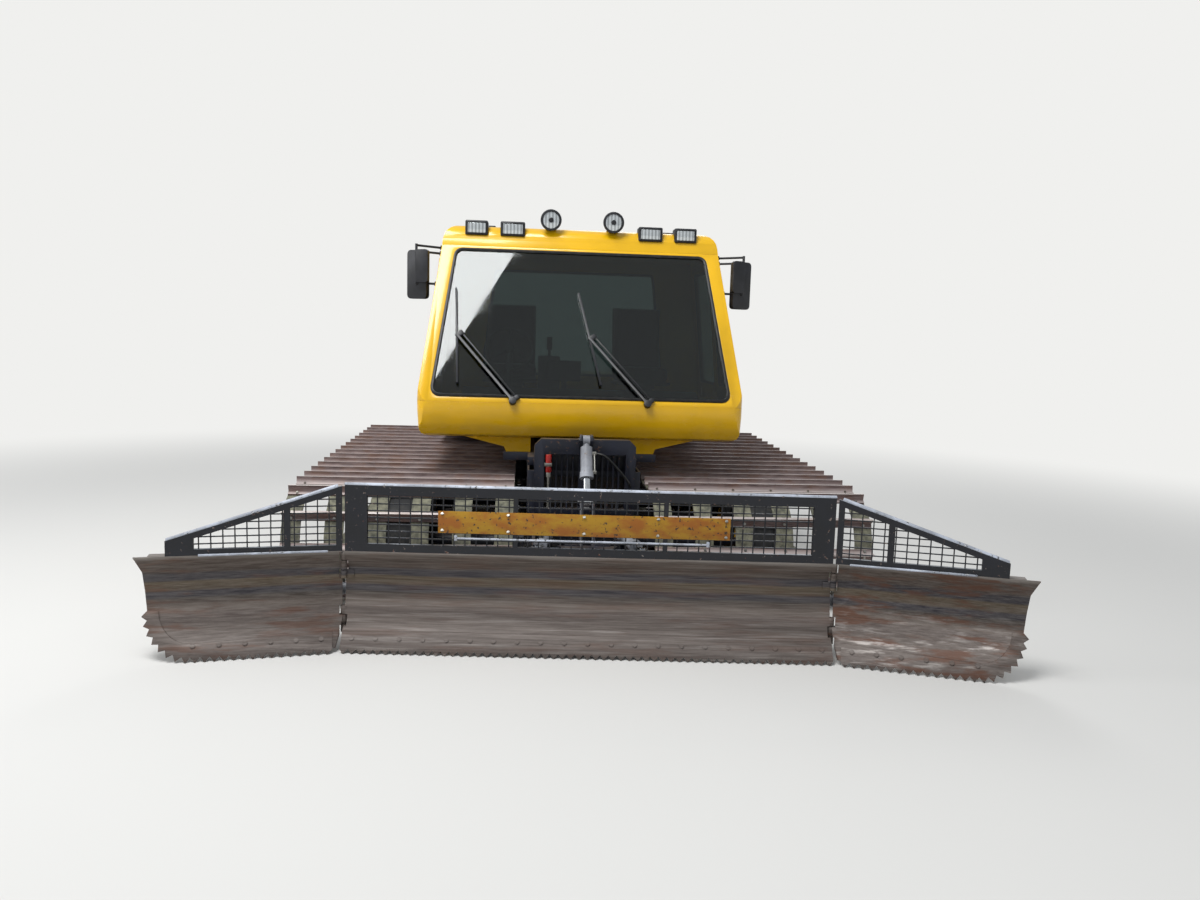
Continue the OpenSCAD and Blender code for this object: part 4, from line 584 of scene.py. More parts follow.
def drawn_at_axle(piece, place):
    """Takes a form that was drawn about the front axle's middle to its place, given as a matrix."""
    piece.data.transform(place @ Matrix.Translation(-ORIGIN))
    return piece


def facing(place, direction):
    """A matrix at a place whose z axis looks along a direction."""
    return Matrix.Translation(place) @ Vector(direction).to_track_quat("Z", "Y").to_matrix().to_4x4()


def bolt_ring(x, y, z, radius, count, first):
    """Bolts in a ring about an axle along X, facing out, as matrices."""
    turns = [math.radians(first + i * 360 / count) for i in range(count)]
    return [facing(at(x, y + radius * math.cos(a), z + radius * math.sin(a)), (1, 0, 0)) for a in turns]


# Sizes and colours


class GroomerSizes(bpy.types.PropertyGroup):
    """Sizes of the dressing pieces, in metres."""

    panel_round: bpy.props.FloatProperty(
        name="Panel rounding", description="Rounding of the cab's sheet edges", default=0.014, unit="LENGTH"
    )
    plate_round: bpy.props.FloatProperty(
        name="Plate rounding", description="Rounding of welded plate edges", default=0.004, unit="LENGTH"
    )
    seal_width: bpy.props.FloatProperty(
        name="Seal width", description="Width of the rubber seal round a window", default=0.022, unit="LENGTH"
    )
    cushion_voxel: bpy.props.FloatProperty(
        name="Cushion mesh", description="Mesh size of the seat cushions", default=0.006, unit="LENGTH"
    )


class GroomerColours(bpy.types.PropertyGroup):
    """Colours of the paints."""

    cab: bpy.props.FloatVectorProperty(
        name="Cab", description="Cab enamel", subtype="COLOR", size=4, min=0, max=1, default=linear("EDB807")
    )
    frame: bpy.props.FloatVectorProperty(
        name="Frame", description="Paint of hull and frames", subtype="COLOR", size=4, min=0, max=1,
        default=linear("10131F")
    )
    guard: bpy.props.FloatVectorProperty(
        name="Guard", description="Paint of the guards", subtype="COLOR", size=4, min=0, max=1,
        default=linear("0B0D15")
    )


SIDES = (("left", -1), ("right", 1))

# The cab's outline: sizes that its seals, lamps and mirrors follow
BELT_Z, SILL_Z, EAVE_Z, ROOF_Z, FLOOR_Z = 1400, 1535, 2600, 2765, 1180
CAB_HALF, CAB_TOP_HALF, CAB_BACK_Y = 1232, 1105, 1930
DOOR_Y0, DOOR_Y1, DOOR_Z1 = 1050, 1850, 2560
RAKE = math.atan(612 / (EAVE_Z - BELT_Z))


def side_x(z):
    """Half width of the cab at a height."""
    return CAB_HALF - (z - BELT_Z) * (CAB_HALF - CAB_TOP_HALF) / (EAVE_Z - BELT_Z)


def rake_y(z):
    """Station of the windshield's plane at a height."""
    return NOSE_Y + (z - BELT_Z) * math.tan(RAKE)


class GROOMER_OT_materials(bpy.types.Operator):
    """Make the materials and give the CAD nodes that stay their finish"""

    bl_idname = "groomer.materials"
    bl_label = "Materials"

    def execute(self, context):
        make_materials()
        for material, nodes in (
            ("tyre", ["road_tyres"]),
            ("rim", ["road_rims"]),
            ("nylon", ["sprockets"]),
            ("iron", ["engine_block"]),
            ("exhaust", ["exhaust_stack"]),
            ("glass", ["cab_windows", "left_door_glass", "right_door_glass"]),
            ("guard", ["blade_guard", "left_wing_guard", "right_wing_guard"]),
            ("ram", [n for n in frame["nodes"] if n.endswith(("_barrel", "_barrels"))]),
            ("rod", [n for n in frame["nodes"] if n.endswith(("_rod", "_rods"))]),
            ("tine", ["tiller_rotor"]),
        ):
            for node in nodes:
                coat(frame["nodes"][node].data, material)
        return {"FINISHED"}


class GROOMER_OT_panels(bpy.types.Operator):
    """Round the edges of the cab's panels, the lid, the welded frames and the blade"""

    bl_idname = "groomer.panels"
    bl_label = "Panels and frames"

    def execute(self, context):
        panel = context.scene.groomer_sizes.panel_round / MM
        plate = context.scene.groomer_sizes.plate_round / MM
        for node in ("cab_lower", "cab_front_frame", "cab_sides", "cab_roof"):
            softened(node, panel, "enamel", segments=3)
        for node in ("left_door", "right_door", "engine_hood"):
            softened(node, panel / 2, "enamel", segments=3)
        for node in ("tub", "front_guard", "push_frame", "swivel_head", "rear_lift", "axles"):
            softened(node, plate, "navy")
        softened("deck_frame", plate, "deck")
        softened("blade_panel", plate / 2, "blade", 1)
        softened("left_wing", plate / 2, "dull_wing", 1)
        softened("right_wing", plate / 2, "rusty_wing", 1)
        for node in ("dashboard", "wipers", "mirrors"):
            softened(node, 3, "trim")
        return {"FINISHED"}


class GROOMER_OT_seals(bpy.types.Operator):
    """Line each window opening with its rubber seal"""

    bl_idname = "groomer.seals"
    bl_label = "Window seals"

    def execute(self, context):
        self.width = context.scene.groomer_sizes.seal_width
        self.gasket("windshield_seal", "cab_front_frame", (0, -6, 0),
                    lambda n, x, y, z: abs(n.y) < 0.02 and abs(x) < side_x(z) - 75)
        self.gasket("rear_window_seal", "cab_sides", (0, 6, 0),
                    lambda n, x, y, z: abs(n.y) < 0.02 and abs(x) < side_x(z) - 300 and y > 1800)
        for word, side in SIDES:
            self.gasket(word + "_quarter_seal", "cab_front_frame", (6 * side, 0, 0),
                        lambda n, x, y, z: abs(n.x) < 0.02 and side_x(z) - 50 < x * side
                        and rake_y(z) + 70 < y < DOOR_Y0 - 40)
            self.gasket(word + "_door_seal", word + "_door", (6 * side, 0, 0),
                        lambda n, x, y, z: abs(n.x) < 0.02 and x * side < side_x(z) - 10
                        and DOOR_Y0 + 50 < y < DOOR_Y1 - 50 and SILL_Z - 10 < z < DOOR_Z1 - 50)
        return {"FINISHED"}

    def gasket(self, name, node, proud, belongs):
        """An opening's walls, copied, thickened towards its middle and pushed a little out of the skin."""

        def in_opening(face):
            spot = (face.calc_center_median() - ORIGIN) / MM
            return BELT_Z + 20 < spot.z < EAVE_Z - 8 and belongs(face.normal, *spot)

        piece = cad_copy(node)
        with editing(piece, lambda face: not in_opening(face)):
            bpy.ops.mesh.delete(type="FACE")
            bpy.ops.mesh.select_all(action="SELECT")
            bpy.ops.transform.translate(value=Vector(proud) * MM)
        wall = piece.modifiers.new("wall", "SOLIDIFY")
        wall.thickness = self.width
        wall.offset = 1
        wall.use_even_offset = True
        edge = piece.modifiers.new("edge", "BEVEL")
        edge.width = 5 * MM
        edge.segments = 2
        edge.limit_method = "ANGLE"
        finished(piece, name, node, "seal")


# Brow lamps as [place across, width], the round spots between them and the work lamps at the roof's back
BROW_LAMPS = [(-837, 180), (-552, 195), (552, 195), (837, 180)]
BROW_Y, SPOT_X, SPOT_Z, SPOT_R = 890, 250, ROOF_Z + 57, 84
REAR_LAMP_X = 800


class GROOMER_OT_lamps(bpy.types.Operator):
    """Build the brow lamps, the round spots and the rear work lamps"""

    bl_idname = "groomer.lamps"
    bl_label = "Lamps"

    def execute(self, context):
        housings, lenses, bulbs = [], [], []
        # Square lamps: place across, half width, station of the face, depth, underside, top, rim
        rows = [(x, width / 2, BROW_Y, 130, ROOF_Z - 80, ROOF_Z + 35, 18) for x, width in BROW_LAMPS]
        rows += [(x, 85, CAB_BACK_Y - 90, -110, ROOF_Z, ROOF_Z + 100, 17)
                 for x in (-REAR_LAMP_X, REAR_LAMP_X)]
        for x, half, face, depth, low, high, rim in rows:
            back = math.copysign(1, depth)
            y0, y1 = sorted((face, face + depth))
            case = box_form((x - half, y0, low), (x + half, y1, high), 12, 3)
            housings.append(recess(case, (0, -back, 0), 8, 12))
            y0, y1 = sorted((face + 4 * back, face + 16 * back))
            lenses.append(box_form((x - half + rim, y0, low + rim), (x + half - rim, y1, high - rim), 5))
        for x in (-SPOT_X, SPOT_X):
            front = BROW_Y - 15
            bowl = bar((x, front, SPOT_Z), (x, front + 22, SPOT_Z), SPOT_R, 40, 5)
            housings.append(recess(bowl, (0, -1, 0), 12, 14))
            bpy.ops.mesh.primitive_cone_add(
                radius1=(SPOT_R - 8) * MM, radius2=(SPOT_R - 34) * MM, depth=42 * MM, vertices=40,
                location=at(x, front + 41, SPOT_Z), rotation=(-math.pi / 2, 0, 0))
            housings.append(settled(bpy.context.active_object))
            housings.append(box_form((x - 30, front + 58, ROOF_Z), (x + 30, front + 74, SPOT_Z + 20), 3))
            housings.append(box_form((x - 45, front + 58, ROOF_Z), (x + 45, front + 178, ROOF_Z + 9), 3))
            lenses.append(bar((x, front + 7, SPOT_Z), (x, front + 16, SPOT_Z), SPOT_R - 13, 40, 6))
            bulbs.append(bar((x, front - 1, SPOT_Z), (x, front + 10, SPOT_Z), 20, 24, 4))
        finished(joined(housings + bulbs), "lamp_housings", "roof_lamps", "trim", ("roof_lamps",))
        finished(joined(lenses), "lamp_lenses", "roof_lamps", "lens", ("roof_lamps",))
        return {"FINISHED"}


class GROOMER_OT_mirrors(bpy.types.Operator):
    """Set the mirror glasses in their heads and add the wipers' second links"""

    bl_idname = "groomer.mirrors"
    bl_label = "Mirrors and wipers"

    def execute(self, context):
        head = box_form((-80, 47, 2175), (76, 53, 2530), 2)
        small = box_form((-116, -12, 2300), (-20, -7, 2530), 1)
        glass = drawn_at_axle(joined([head, small]), turn_at(at(CAB_HALF + 60, NOSE_Y + 500, 0), 25, "Z"))
        finished(with_twin(glass), "mirror_glasses", "mirrors", "mirror")

        # Each wiper's second link runs beside its arm, and both end on a bracket at the blade's middle
        links = []
        for x in (-520, 490):
            link = box_form((34, -24, 16), (46, -14, 690), 3)
            foot = box_form((20, -30, -14), (60, 0, 22), 6, 3)
            clip = box_form((-14, -30, 660), (52, -10, 700), 4)
            lay = turn_at(at(x, NOSE_Y, BELT_Z), -math.degrees(RAKE), "X")
            lay = lay @ turn_at((0, 0, 10 * MM), -39, "Y")
            links.append(drawn_at_axle(joined([link, foot, clip]), lay))
        finished(joined(links), "wiper_links", "wipers", "trim")
        return {"FINISHED"}


# Tracks: belts as [place of the first, pitch, width], and the wheels as [station, height, radius]
TRACK_X0, BELT_PITCH, BELT_W, BELT_T, CLEAT_H = 494, 286, 126, 14, 60
WHEELS = [(0, 424, 350), (2555, 369, 295), (3250, 484, 380)]
WHEEL_X = 1272
ROAD_STATIONS, ROAD_Z = [665 + i * 630 for i in range(4)], 369


def above_belt(y, z):
    """How far a point lies outside the belt's inner face, which is drawn taut round the wheels."""
    deepest = -1e9
    for step in range(360):
        a = math.radians(step)
        ny, nz = math.cos(a), math.sin(a)
        reach = max(wy * ny + wz * nz + r for wy, wz, r in WHEELS)
        deepest = max(deepest, y * ny + z * nz - reach)
    return deepest


class GROOMER_OT_tracks(bpy.types.Operator):
    """Part the belts from the cleats by their material, and bolt each cleat to each belt"""

    bl_idname = "groomer.tracks"
    bl_label = "Tracks"

    def execute(self, context):
        for word, side in SIDES:
            node = word + "_track"
            piece = cad_copy(node)
            belts, tips, ridges = [], [], []
            for face in piece.data.polygons:
                spot = (face.center - ORIGIN) / MM
                depth = above_belt(spot.y, spot.z)
                over = (side * spot.x - TRACK_X0) % BELT_PITCH
                if over <= BELT_W + 0.5 and depth < BELT_T + 0.6:
                    belts.append(face.index)
                elif depth > CLEAT_H + BELT_T - 1.5:
                    tips.append(face.index)
                    ridges.append((spot.y, spot.z, face.normal.copy()))
            finished(piece, node + "_finished", node, "cleat", (node,), smooth=20)
            piece.data.materials.append(MATERIALS["belt"])
            piece.data.materials.append(MATERIALS["ridge"])
            for index in belts:
                piece.data.polygons[index].material_index = 1
            # The cleats' tips take the pale tip steel: polish, and a painted highlight of their lit edges
            for index in tips:
                piece.data.polygons[index].material_index = 2
            places = []
            for y, z, out in ridges:
                along = out.cross(Vector((1, 0, 0)))
                for i in range(6):
                    for lean in (-1, 1):
                        foot = at(side * (TRACK_X0 + BELT_W / 2 + i * BELT_PITCH), y, z)
                        foot += (out * -(CLEAT_H - 11) + along * lean * 22) * MM
                        places.append(facing(foot, out + along * lean * 0.3))
            finished(hex_heads(places, 17, 8), word + "_cleat_bolts", node, "zinc")
        return {"FINISHED"}


class GROOMER_OT_wheels(bpy.types.Operator):
    """Cap the hubs and bolt the wheels and sprockets"""

    bl_idname = "groomer.wheels"
    bl_label = "Wheels"

    def execute(self, context):
        caps, nuts = [], []
        # Station, height; the nuts' ring, its place out and their count; the cap's radius and place out
        road = (105, 43, 6, 46, 76)
        rows = [(*WHEELS[0][:2], *road), *((y, ROAD_Z, *road) for y in ROAD_STATIONS),
                (*WHEELS[2][:2], 92, 96, 8, 62, 96)]
        for y, z, ring, face, count, cap, end in rows:
            nuts += bolt_ring(WHEEL_X + face, y, z, ring, count, 30)
            end += WHEEL_X
            caps.append(bar((end - 1, y, z), (end + 22, y, z), cap, 28, 8))
        finished(with_twin(joined(caps)), "hub_caps", "road_rims", "rim")
        finished(with_twin(hex_heads(nuts, 22, 14)), "wheel_nuts", "road_rims", "zinc")
        return {"FINISHED"}


# Blade: its parked swing about the upright pin, its wings' pivots and fold, and the height of its edge bolts
BLADE_Y, BLADE_HALF, GUARD_Y, EDGE_Z = -1320, 1463, -1208, 80
SWING = turn_at(at(0, -880, 0), -4, "Z") @ Matrix.Translation(-at(0, -880, 0))
PIVOT_BACK = 140
PIVOT = (BLADE_HALF + 8, BLADE_Y + PIVOT_BACK)
FOLD = math.radians(15)


def blade_at(x, y, z):
    """A place on the swung blade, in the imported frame."""
    return SWING @ at(x, y, z)


def wing_at(x, back, z, side):
    """A place on a wing, x out from its pivot and back from its cutting edge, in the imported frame."""
    d = back - PIVOT_BACK
    across = PIVOT[0] + x * math.cos(FOLD) + d * math.sin(FOLD)
    return blade_at(side * across, PIVOT[1] - x * math.sin(FOLD) + d * math.cos(FOLD), z)


class GROOMER_OT_blade(bpy.types.Operator):
    """Bolt the cutting edges on and fix the marker strip to the guard"""

    bl_idname = "groomer.blade"
    bl_label = "Blade"

    def execute(self, context):
        # The edge's face leans back as the plate does there: 62 mm in 90
        lean = Vector((0, -90, 62)).normalized()
        front = SWING.to_3x3() @ lean
        edge_back = 62 * EDGE_Z / 90 - 14
        places = [facing(blade_at(x, BLADE_Y + edge_back, EDGE_Z), front) for x in range(-1400, 1401, 140)]
        finished(hex_heads(places, 26, 4), "edge_bolts", "blade_panel", "blade")
        for word, side in SIDES:
            turned = Matrix.Rotation(-side * FOLD, 3, "Z") @ lean
            direction = SWING.to_3x3() @ turned
            places = [facing(wing_at(x, edge_back, EDGE_Z, side), direction) for x in range(130, 840, 140)]
            finished(hex_heads(places, 26, 4), word + "_edge_bolts", word + "_wing", "blade")
            # The guard's rail runs down to the wing's end, with a lip along the guard's foot; their pale
            # paint is wear and a painted highlight of their lit tops
            rail = round_form(wing_at(30, 125, 980, side), wing_at(968, 125, 680, side), 13, 16, 4)
            lip = round_form(wing_at(90, 106, 592, side), wing_at(800, 106, 592, side), 7, 12, 3)
            finished(joined([rail, lip]), word + "_guard_rail", word + "_wing_guard", "rail")

        end = BLADE_HALF - 4
        # The blade guard's top rail: its pale paint is wear and a painted highlight along its top
        rail = round_form(blade_at(-end, GUARD_Y + 13, 989), blade_at(end, GUARD_Y + 13, 989), 13, 16, 4)
        finished(rail, "guard_rail", "blade_guard", "rail")
        # A plain painted strip, over a thin pale pipe
        pipe = [round_form(blade_at(-800, GUARD_Y - 8, 686), blade_at(700, GUARD_Y - 8, 686), 6, 12)]
        for x in (-800, 700):
            pipe.append(box_form((x - 9, GUARD_Y - 14, 672), (x + 9, GUARD_Y, 704), 3))
            pipe[-1].data.transform(SWING)
        finished(joined(pipe), "guard_pipe", "blade_guard", "rail")
        strip = box_form((-905, GUARD_Y - 7, 716), (830, GUARD_Y - 1, 848), 1.5)
        strip.data.transform(SWING)
        finished(strip, "marker_strip", "blade_guard", "strip")
        places = [facing(blade_at(x, GUARD_Y - 7, z), front) for x in (-880, -490, -40, 400, 805)
                  for z in (732, 832)]
        finished(hex_heads(places, 16, 6), "marker_strip_bolts", "blade_guard", "zinc")
        return {"FINISHED"}


# The hose runs from the lift ram's port to the front guard's post
HOSE_KNOTS = [(68, -316, 1107), (135, -335, 1085), (235, -315, 985), (300, -275, 905), (322, -221, 862)]

# Rams: barrel node, barrel radius, length of the barrel, side on which its pipe runs, places across
RAMS = [
    ("lift_barrel", 41, 255, (1, 0, 0), (0,)),
    ("left_angle_barrel", 38, 340, (0, 0, 1), (0,)),
    ("right_angle_barrel", 38, 340, (0, 0, 1), (0,)),
    ("left_wing_barrel", 36, 560, (0, 0, 1), (0,)),
    ("right_wing_barrel", 36, 560, (0, 0, 1), (0,)),
    ("rear_barrels", 42, 300, (1, 0, 0), (-180, 180)),
]


class GROOMER_OT_rams(bpy.types.Operator):
    """Give each ram its ports and its steel pipe, and the cooler its oil filter"""

    bl_idname = "groomer.rams"
    bl_label = "Ram fittings"

    def execute(self, context):
        joints = frame["record"]["behaviour"]["joints"]
        for node, radius, length, side, spots in RAMS:
            body = body_of(node)
            base = Vector(next(j["pos_m"] for j in joints if j["child"] == body))
            aim = Vector(next(j["axis"] for j in joints if j["parent"] == body and j["type"] == "slide"))
            way = Vector(side)
            forms = []
            for x in spots:
                foot = base + Vector((x * MM, 0, 0))
                gap = way * (radius + 14) * MM
                near, far = foot + aim * 95 * MM, foot + aim * (length - 20) * MM
                for spot in (near, far):
                    forms.append(round_form(spot + way * (radius - 6) * MM, spot + way * (radius + 26) * MM,
                                            13, 6))
                forms.append(round_form(near + gap, far + gap, 7, 12))
            finished(joined(forms), node + "_pipes", node, "zinc")
        self.hose("lift_hose", HOSE_KNOTS, 8)
        # The filter hangs in front of the upright bars, on a clamp at the guard's edge
        x, y = -256, -218
        canister = bar((x, y, 955), (x, y, 1082), 21, 24, 6)
        finished(canister, "oil_filter", "engine_block", "red")
        head = bar((x, y, 922), (x, y, 958), 17, 6, 2)
        pipe = bar((x, y, 705), (x, y, 925), 8, 16)
        clamp = box_form((x - 30, y - 24, 1000), (x + 24, y + 12, 1024), 3)
        finished(joined([head, pipe, clamp]), "oil_filter_head", "engine_block", "zinc")
        return {"FINISHED"}

    def hose(self, name, knots, radius_mm):
        """A smooth hose through its knots, as a spline whose slope at a knot is that of its neighbours."""
        knot = [Vector(k) for k in knots]
        knot = [knot[0] * 2 - knot[1], *knot, knot[-1] * 2 - knot[-2]]
        run = []
        for a, b, c, d in zip(knot, knot[1:], knot[2:], knot[3:]):
            for t in (step / 12 for step in range(12)):
                spot = (b * 2 + (c - a) * t + (a * 2 - b * 5 + c * 4 - d) * t * t
                        + (b * 3 - a - c * 3 + d) * t ** 3)
                run.append(at(*(spot / 2)))
        run.append(at(*knots[-1]))
        data = bpy.data.curves.new(name, "CURVE")
        data.dimensions = "3D"
        data.bevel_depth = radius_mm * MM
        data.bevel_resolution = 4
        data.use_fill_caps = True
        line = data.splines.new("POLY")
        line.points.add(len(run) - 1)
        for point, spot in zip(line.points, run):
            point.co = (*spot, 1)
        line.use_smooth = True
        piece = bpy.data.objects.new(name, data)
        bpy.context.scene.collection.objects.link(piece)
        data.materials.append(MATERIALS["hose"])
        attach(piece, "chassis")


class GROOMER_OT_deck(bpy.types.Operator):
    """Lids and latches of the side boxes, tail lamps, the lid's handles and the exhaust's fittings"""

    bl_idname = "groomer.deck"
    bl_label = "Deck fittings"

    def execute(self, context):
        lid = box_form((632, 2182, 1400), (1208, 3408, 1489), 7, 3)
        finished(with_twin(lid), "side_box_lids", "deck_frame", "deck")
        latches = []
        for y in (2400, 2800, 3200):
            latches.append(box_form((1198, y - 22, 1352), (1212, y + 22, 1416), 3))
            latches.append(box_form((1208, y - 9, 1362), (1218, y + 9, 1400), 3))
        for y in (2300, 3290):
            latches.append(bar((634, y - 45, 1404), (634, y + 45, 1404), 8, 12))
        finished(with_twin(joined(latches)), "box_latches", "deck_frame", "zinc")
        shells = recess(box_form((1060, 3558, 968), (1215, 3590, 1014), 6), (0, 1, 0), 6, 6)
        finished(with_twin(shells), "tail_lamp_shells", "deck_frame", "trim")
        reds = box_form((1070, 3578, 976), (1205, 3588, 1006), 3)
        finished(with_twin(reds), "tail_lamp_lenses", "deck_frame", "red")

        grips = []
        for x in (-300, 300):
            a, b = x - 70, x + 70
            grips.append(bar((a, 2012, 1330), (b, 2012, 1330), 8, 12, 2))
            grips += [bar((end, 2012, 1330), (end, 2044, 1330), 8, 12) for end in (a, b)]
            grips.append(box_form((x - 30, 2030, 1200), (x + 30, 2044, 1262), 3))
        finished(joined(grips), "lid_handles", "engine_hood", "trim")

        # Clamp bands and their bolts on the exhaust, and its rain cap, which hangs open on a hinge
        x, y, top = 1050, CAB_BACK_Y + 145, ROOF_Z - 115
        bands = [bar((x, y, z), (x, y, z + 26), 88, 32, 2) for z in (1350, 1670, 1966)]
        for z in (1363, 1683, 1979):
            bands.append(bar((x + 80, y - 20, z), (x + 108, y - 20, z), 9, 6))
        cap = bar((x, y, top), (x, y, top + 6), 52, 28, 1)
        hinge = at(x, y + 50, top)
        cap.data.transform(turn_at(hinge, -24, "X") @ Matrix.Translation(-hinge))
        finished(joined(bands + [cap]), "exhaust_clamps", "exhaust_stack", "exhaust")
        return {"FINISHED"}


# The tiller's drum: its station and height, and the radius of the shroud over it
TILLER_Y, DRUM_Z, SHROUD_R = 4560, 213, 262


class GROOMER_OT_tiller(bpy.types.Operator):
    """Part the tiller's rubber comb from its shroud, and add its motors and bolts"""

    bl_idname = "groomer.tiller"
    bl_label = "Tiller"

    def execute(self, context):
        piece = softened("tiller_housing", 3, "navy", 1)
        piece.data.materials.append(MATERIALS["tyre"])
        for face in piece.data.polygons:
            if (face.center.y - ORIGIN.y) / MM > TILLER_Y + SHROUD_R + 6:
                face.material_index = 1
        motors = [bar((2065, TILLER_Y, DRUM_Z), (2095, TILLER_Y, DRUM_Z), 78, 28, 6),
                  bar((2090, TILLER_Y, DRUM_Z), (2128, TILLER_Y, DRUM_Z), 52, 28, 8)]
        finished(with_twin(joined(motors)), "tiller_motors", "tiller_housing", "iron")
        bolts = bolt_ring(2070, TILLER_Y, DRUM_Z, 110, 8, 20)
        finished(with_twin(hex_heads(bolts, 18, 9)), "tiller_bolts", "tiller_housing", "zinc")
        return {"FINISHED"}


# Seats: places across, front of the cushion, its underside, and how far the padding may swell
SEAT_X, SEAT_Y, CUSHION_Z, SWELL = (-560, 560), NOSE_Y + 890, 1535, 12


class GROOMER_OT_seats(bpy.types.Operator):
    """Blow up the seats' cushions under cloth and set them on their shells and bases"""

    bl_idname = "groomer.seats"
    bl_label = "Seats"

    def execute(self, context):
        x, y, z = SEAT_X[0], SEAT_Y, CUSHION_Z
        base = box_form((x - 140, y + 90, FLOOR_Z), (x + 140, y + 370, FLOOR_Z + 60), 10)
        folds = []
        for i in range(7):
            narrow, foot = i % 2 * 14, FLOOR_Z + 60 + i * 40
            folds.append(box_form((x - 120 + narrow, y + 110 + narrow, foot),
                                  (x + 120 - narrow, y + 350 - narrow, foot + 40), 8))
        pan = box_form((x - 225, y + 10, z - 22), (x + 225, y + 450, z + 8), 10, 3)
        lever = bar((x + 225, y + 90, z - 6), (x + 250, y + 90, z - 6), 12, 16, 3)
        lean = turn_at(at(x, y + 420, z + 70), -10, "X")
        shell = drawn_at_axle(box_form((-215, 84, 10), (215, 108, 600), 10, 3), lean)
        hard = joined([base, *folds, pan, lever, shell])
        level = Matrix.Translation(ORIGIN)
        cushion = self.pillow((x - 226, y + 12, z + 12), (x + 226, y + 440, z + 118), level)
        rest = self.pillow((-216, 8, 30), (216, 82, 596), lean)
        parts = ((hard, "seat_base", "trim"), (cushion, "seat_cushion", "seat"), (rest, "seat_back", "seat"))
        for (word, _), x in zip(SIDES, SEAT_X):
            shift = Matrix.Translation(((x - SEAT_X[0]) * MM, 0, 0))
            for form, part, material in parts:
                piece = finished(copied(form, shift), f"{word}_{part}", "seats", material, ("seats",), 50)
        for form in (hard, cushion, rest):
            bpy.data.objects.remove(form)
        return {"FINISHED"}

    def pillow(self, low, high, lay):
        """A padded block: remeshed, blown up as cloth and held within a few millimetres of the block."""
        piece = drawn_at_axle(box_form(low, high, 26, 3), lay)
        only(piece)
        piece.data.remesh_voxel_size = bpy.context.scene.groomer_sizes.cushion_voxel
        bpy.ops.object.voxel_remesh()
        before = [v.co.copy() for v in piece.data.vertices]
        cloth = piece.modifiers.new("cloth", "CLOTH")
        cloth.settings.use_pressure = True
        cloth.settings.uniform_pressure_force = 4
        cloth.settings.effector_weights.gravity = 0
        for number in range(1, 21):
            bpy.context.scene.frame_set(number)
        bpy.ops.object.modifier_apply(modifier=cloth.name)
        bpy.context.scene.frame_set(1)
        for vertex, first in zip(piece.data.vertices, before):
            move = vertex.co - first
            if move.length > SWELL * MM:
                vertex.co = first + move * (SWELL * MM / move.length)
        return piece


# Steering wheel: radius of its rim, and its tilt in degrees
WHEEL_R, WHEEL_TILT = 190, 58


class GROOMER_OT_controls(bpy.types.Operator):
    """Steering wheel, screen, joystick and pedals in front of the driver's seat"""

    bl_idname = "groomer.controls"
    bl_label = "Controls"

    def execute(self, context):
        x = SEAT_X[0]
        centre = at(x, 800, 1790)
        wheel = turn_at(centre, WHEEL_TILT, "X")
        bpy.ops.mesh.primitive_torus_add(
            major_radius=WHEEL_R * MM, minor_radius=14 * MM, major_segments=40, minor_segments=12,
            location=centre, rotation=(math.radians(WHEEL_TILT), 0, 0))
        forms = [settled(bpy.context.active_object)]
        for i in range(3):
            a, reach = math.radians(90 + i * 120), (WHEEL_R - 5) * MM
            rim = wheel @ Vector((reach * math.cos(a), reach * math.sin(a), 0))
            forms.append(round_form(centre, rim, 9, 12, 1))
        forms.append(round_form(wheel @ Vector((0, 0, -0.02)), wheel @ Vector((0, 0, 0.03)), 42, 24, 8))
        forms.append(round_form(centre, at(x, 590, 1440), 26, 20, 2))
        for px in (x - 110, x + 70):
            forms.append(box_form((px - 40, 640, 1230), (px + 40, 660, 1330), 6))
            forms.append(box_form((px - 10, 560, 1190), (px + 10, 650, 1250), 3))
        # The joystick's stem, grip and boot
        stick = x + 330
        forms.append(bar((stick, 1310, 1695), (stick, 1310, 1800), 12, 16, 1))
        forms.append(bar((stick, 1300, 1790), (stick, 1320, 1900), 24, 20, 8))
        forms.append(bar((stick, 1310, 1690), (stick, 1310, 1720), 45, 24, 6))
        forms.append(recess(box_form((x + 300, 560, 1560), (x + 560, 600, 1720), 10, 3), (0, 1, 0), 14, 3))
        forms.append(box_form((x + 410, 560, 1460), (x + 450, 580, 1570), 4))
        finished(joined(forms), "driver_controls", "dashboard", "trim")
        screen = box_form((x + 316, 595, 1576), (x + 544, 599.5, 1704), 1)
        finished(screen, "blank_screen", "dashboard", "glass")
        return {"FINISHED"}


BACKGROUND = "F0F0EE"

# Camera: focal length in pixels of the 1200-pixel frame, turn, pitch and roll in degrees, and its place
FOCAL_PX, FRAME_PX = 903.6, 1200
CAMERA_TURN, CAMERA_DOWN, CAMERA_ROLL = 4.81, 6.70, 1.71
CAMERA_AT = (-425, -6471, 1857)


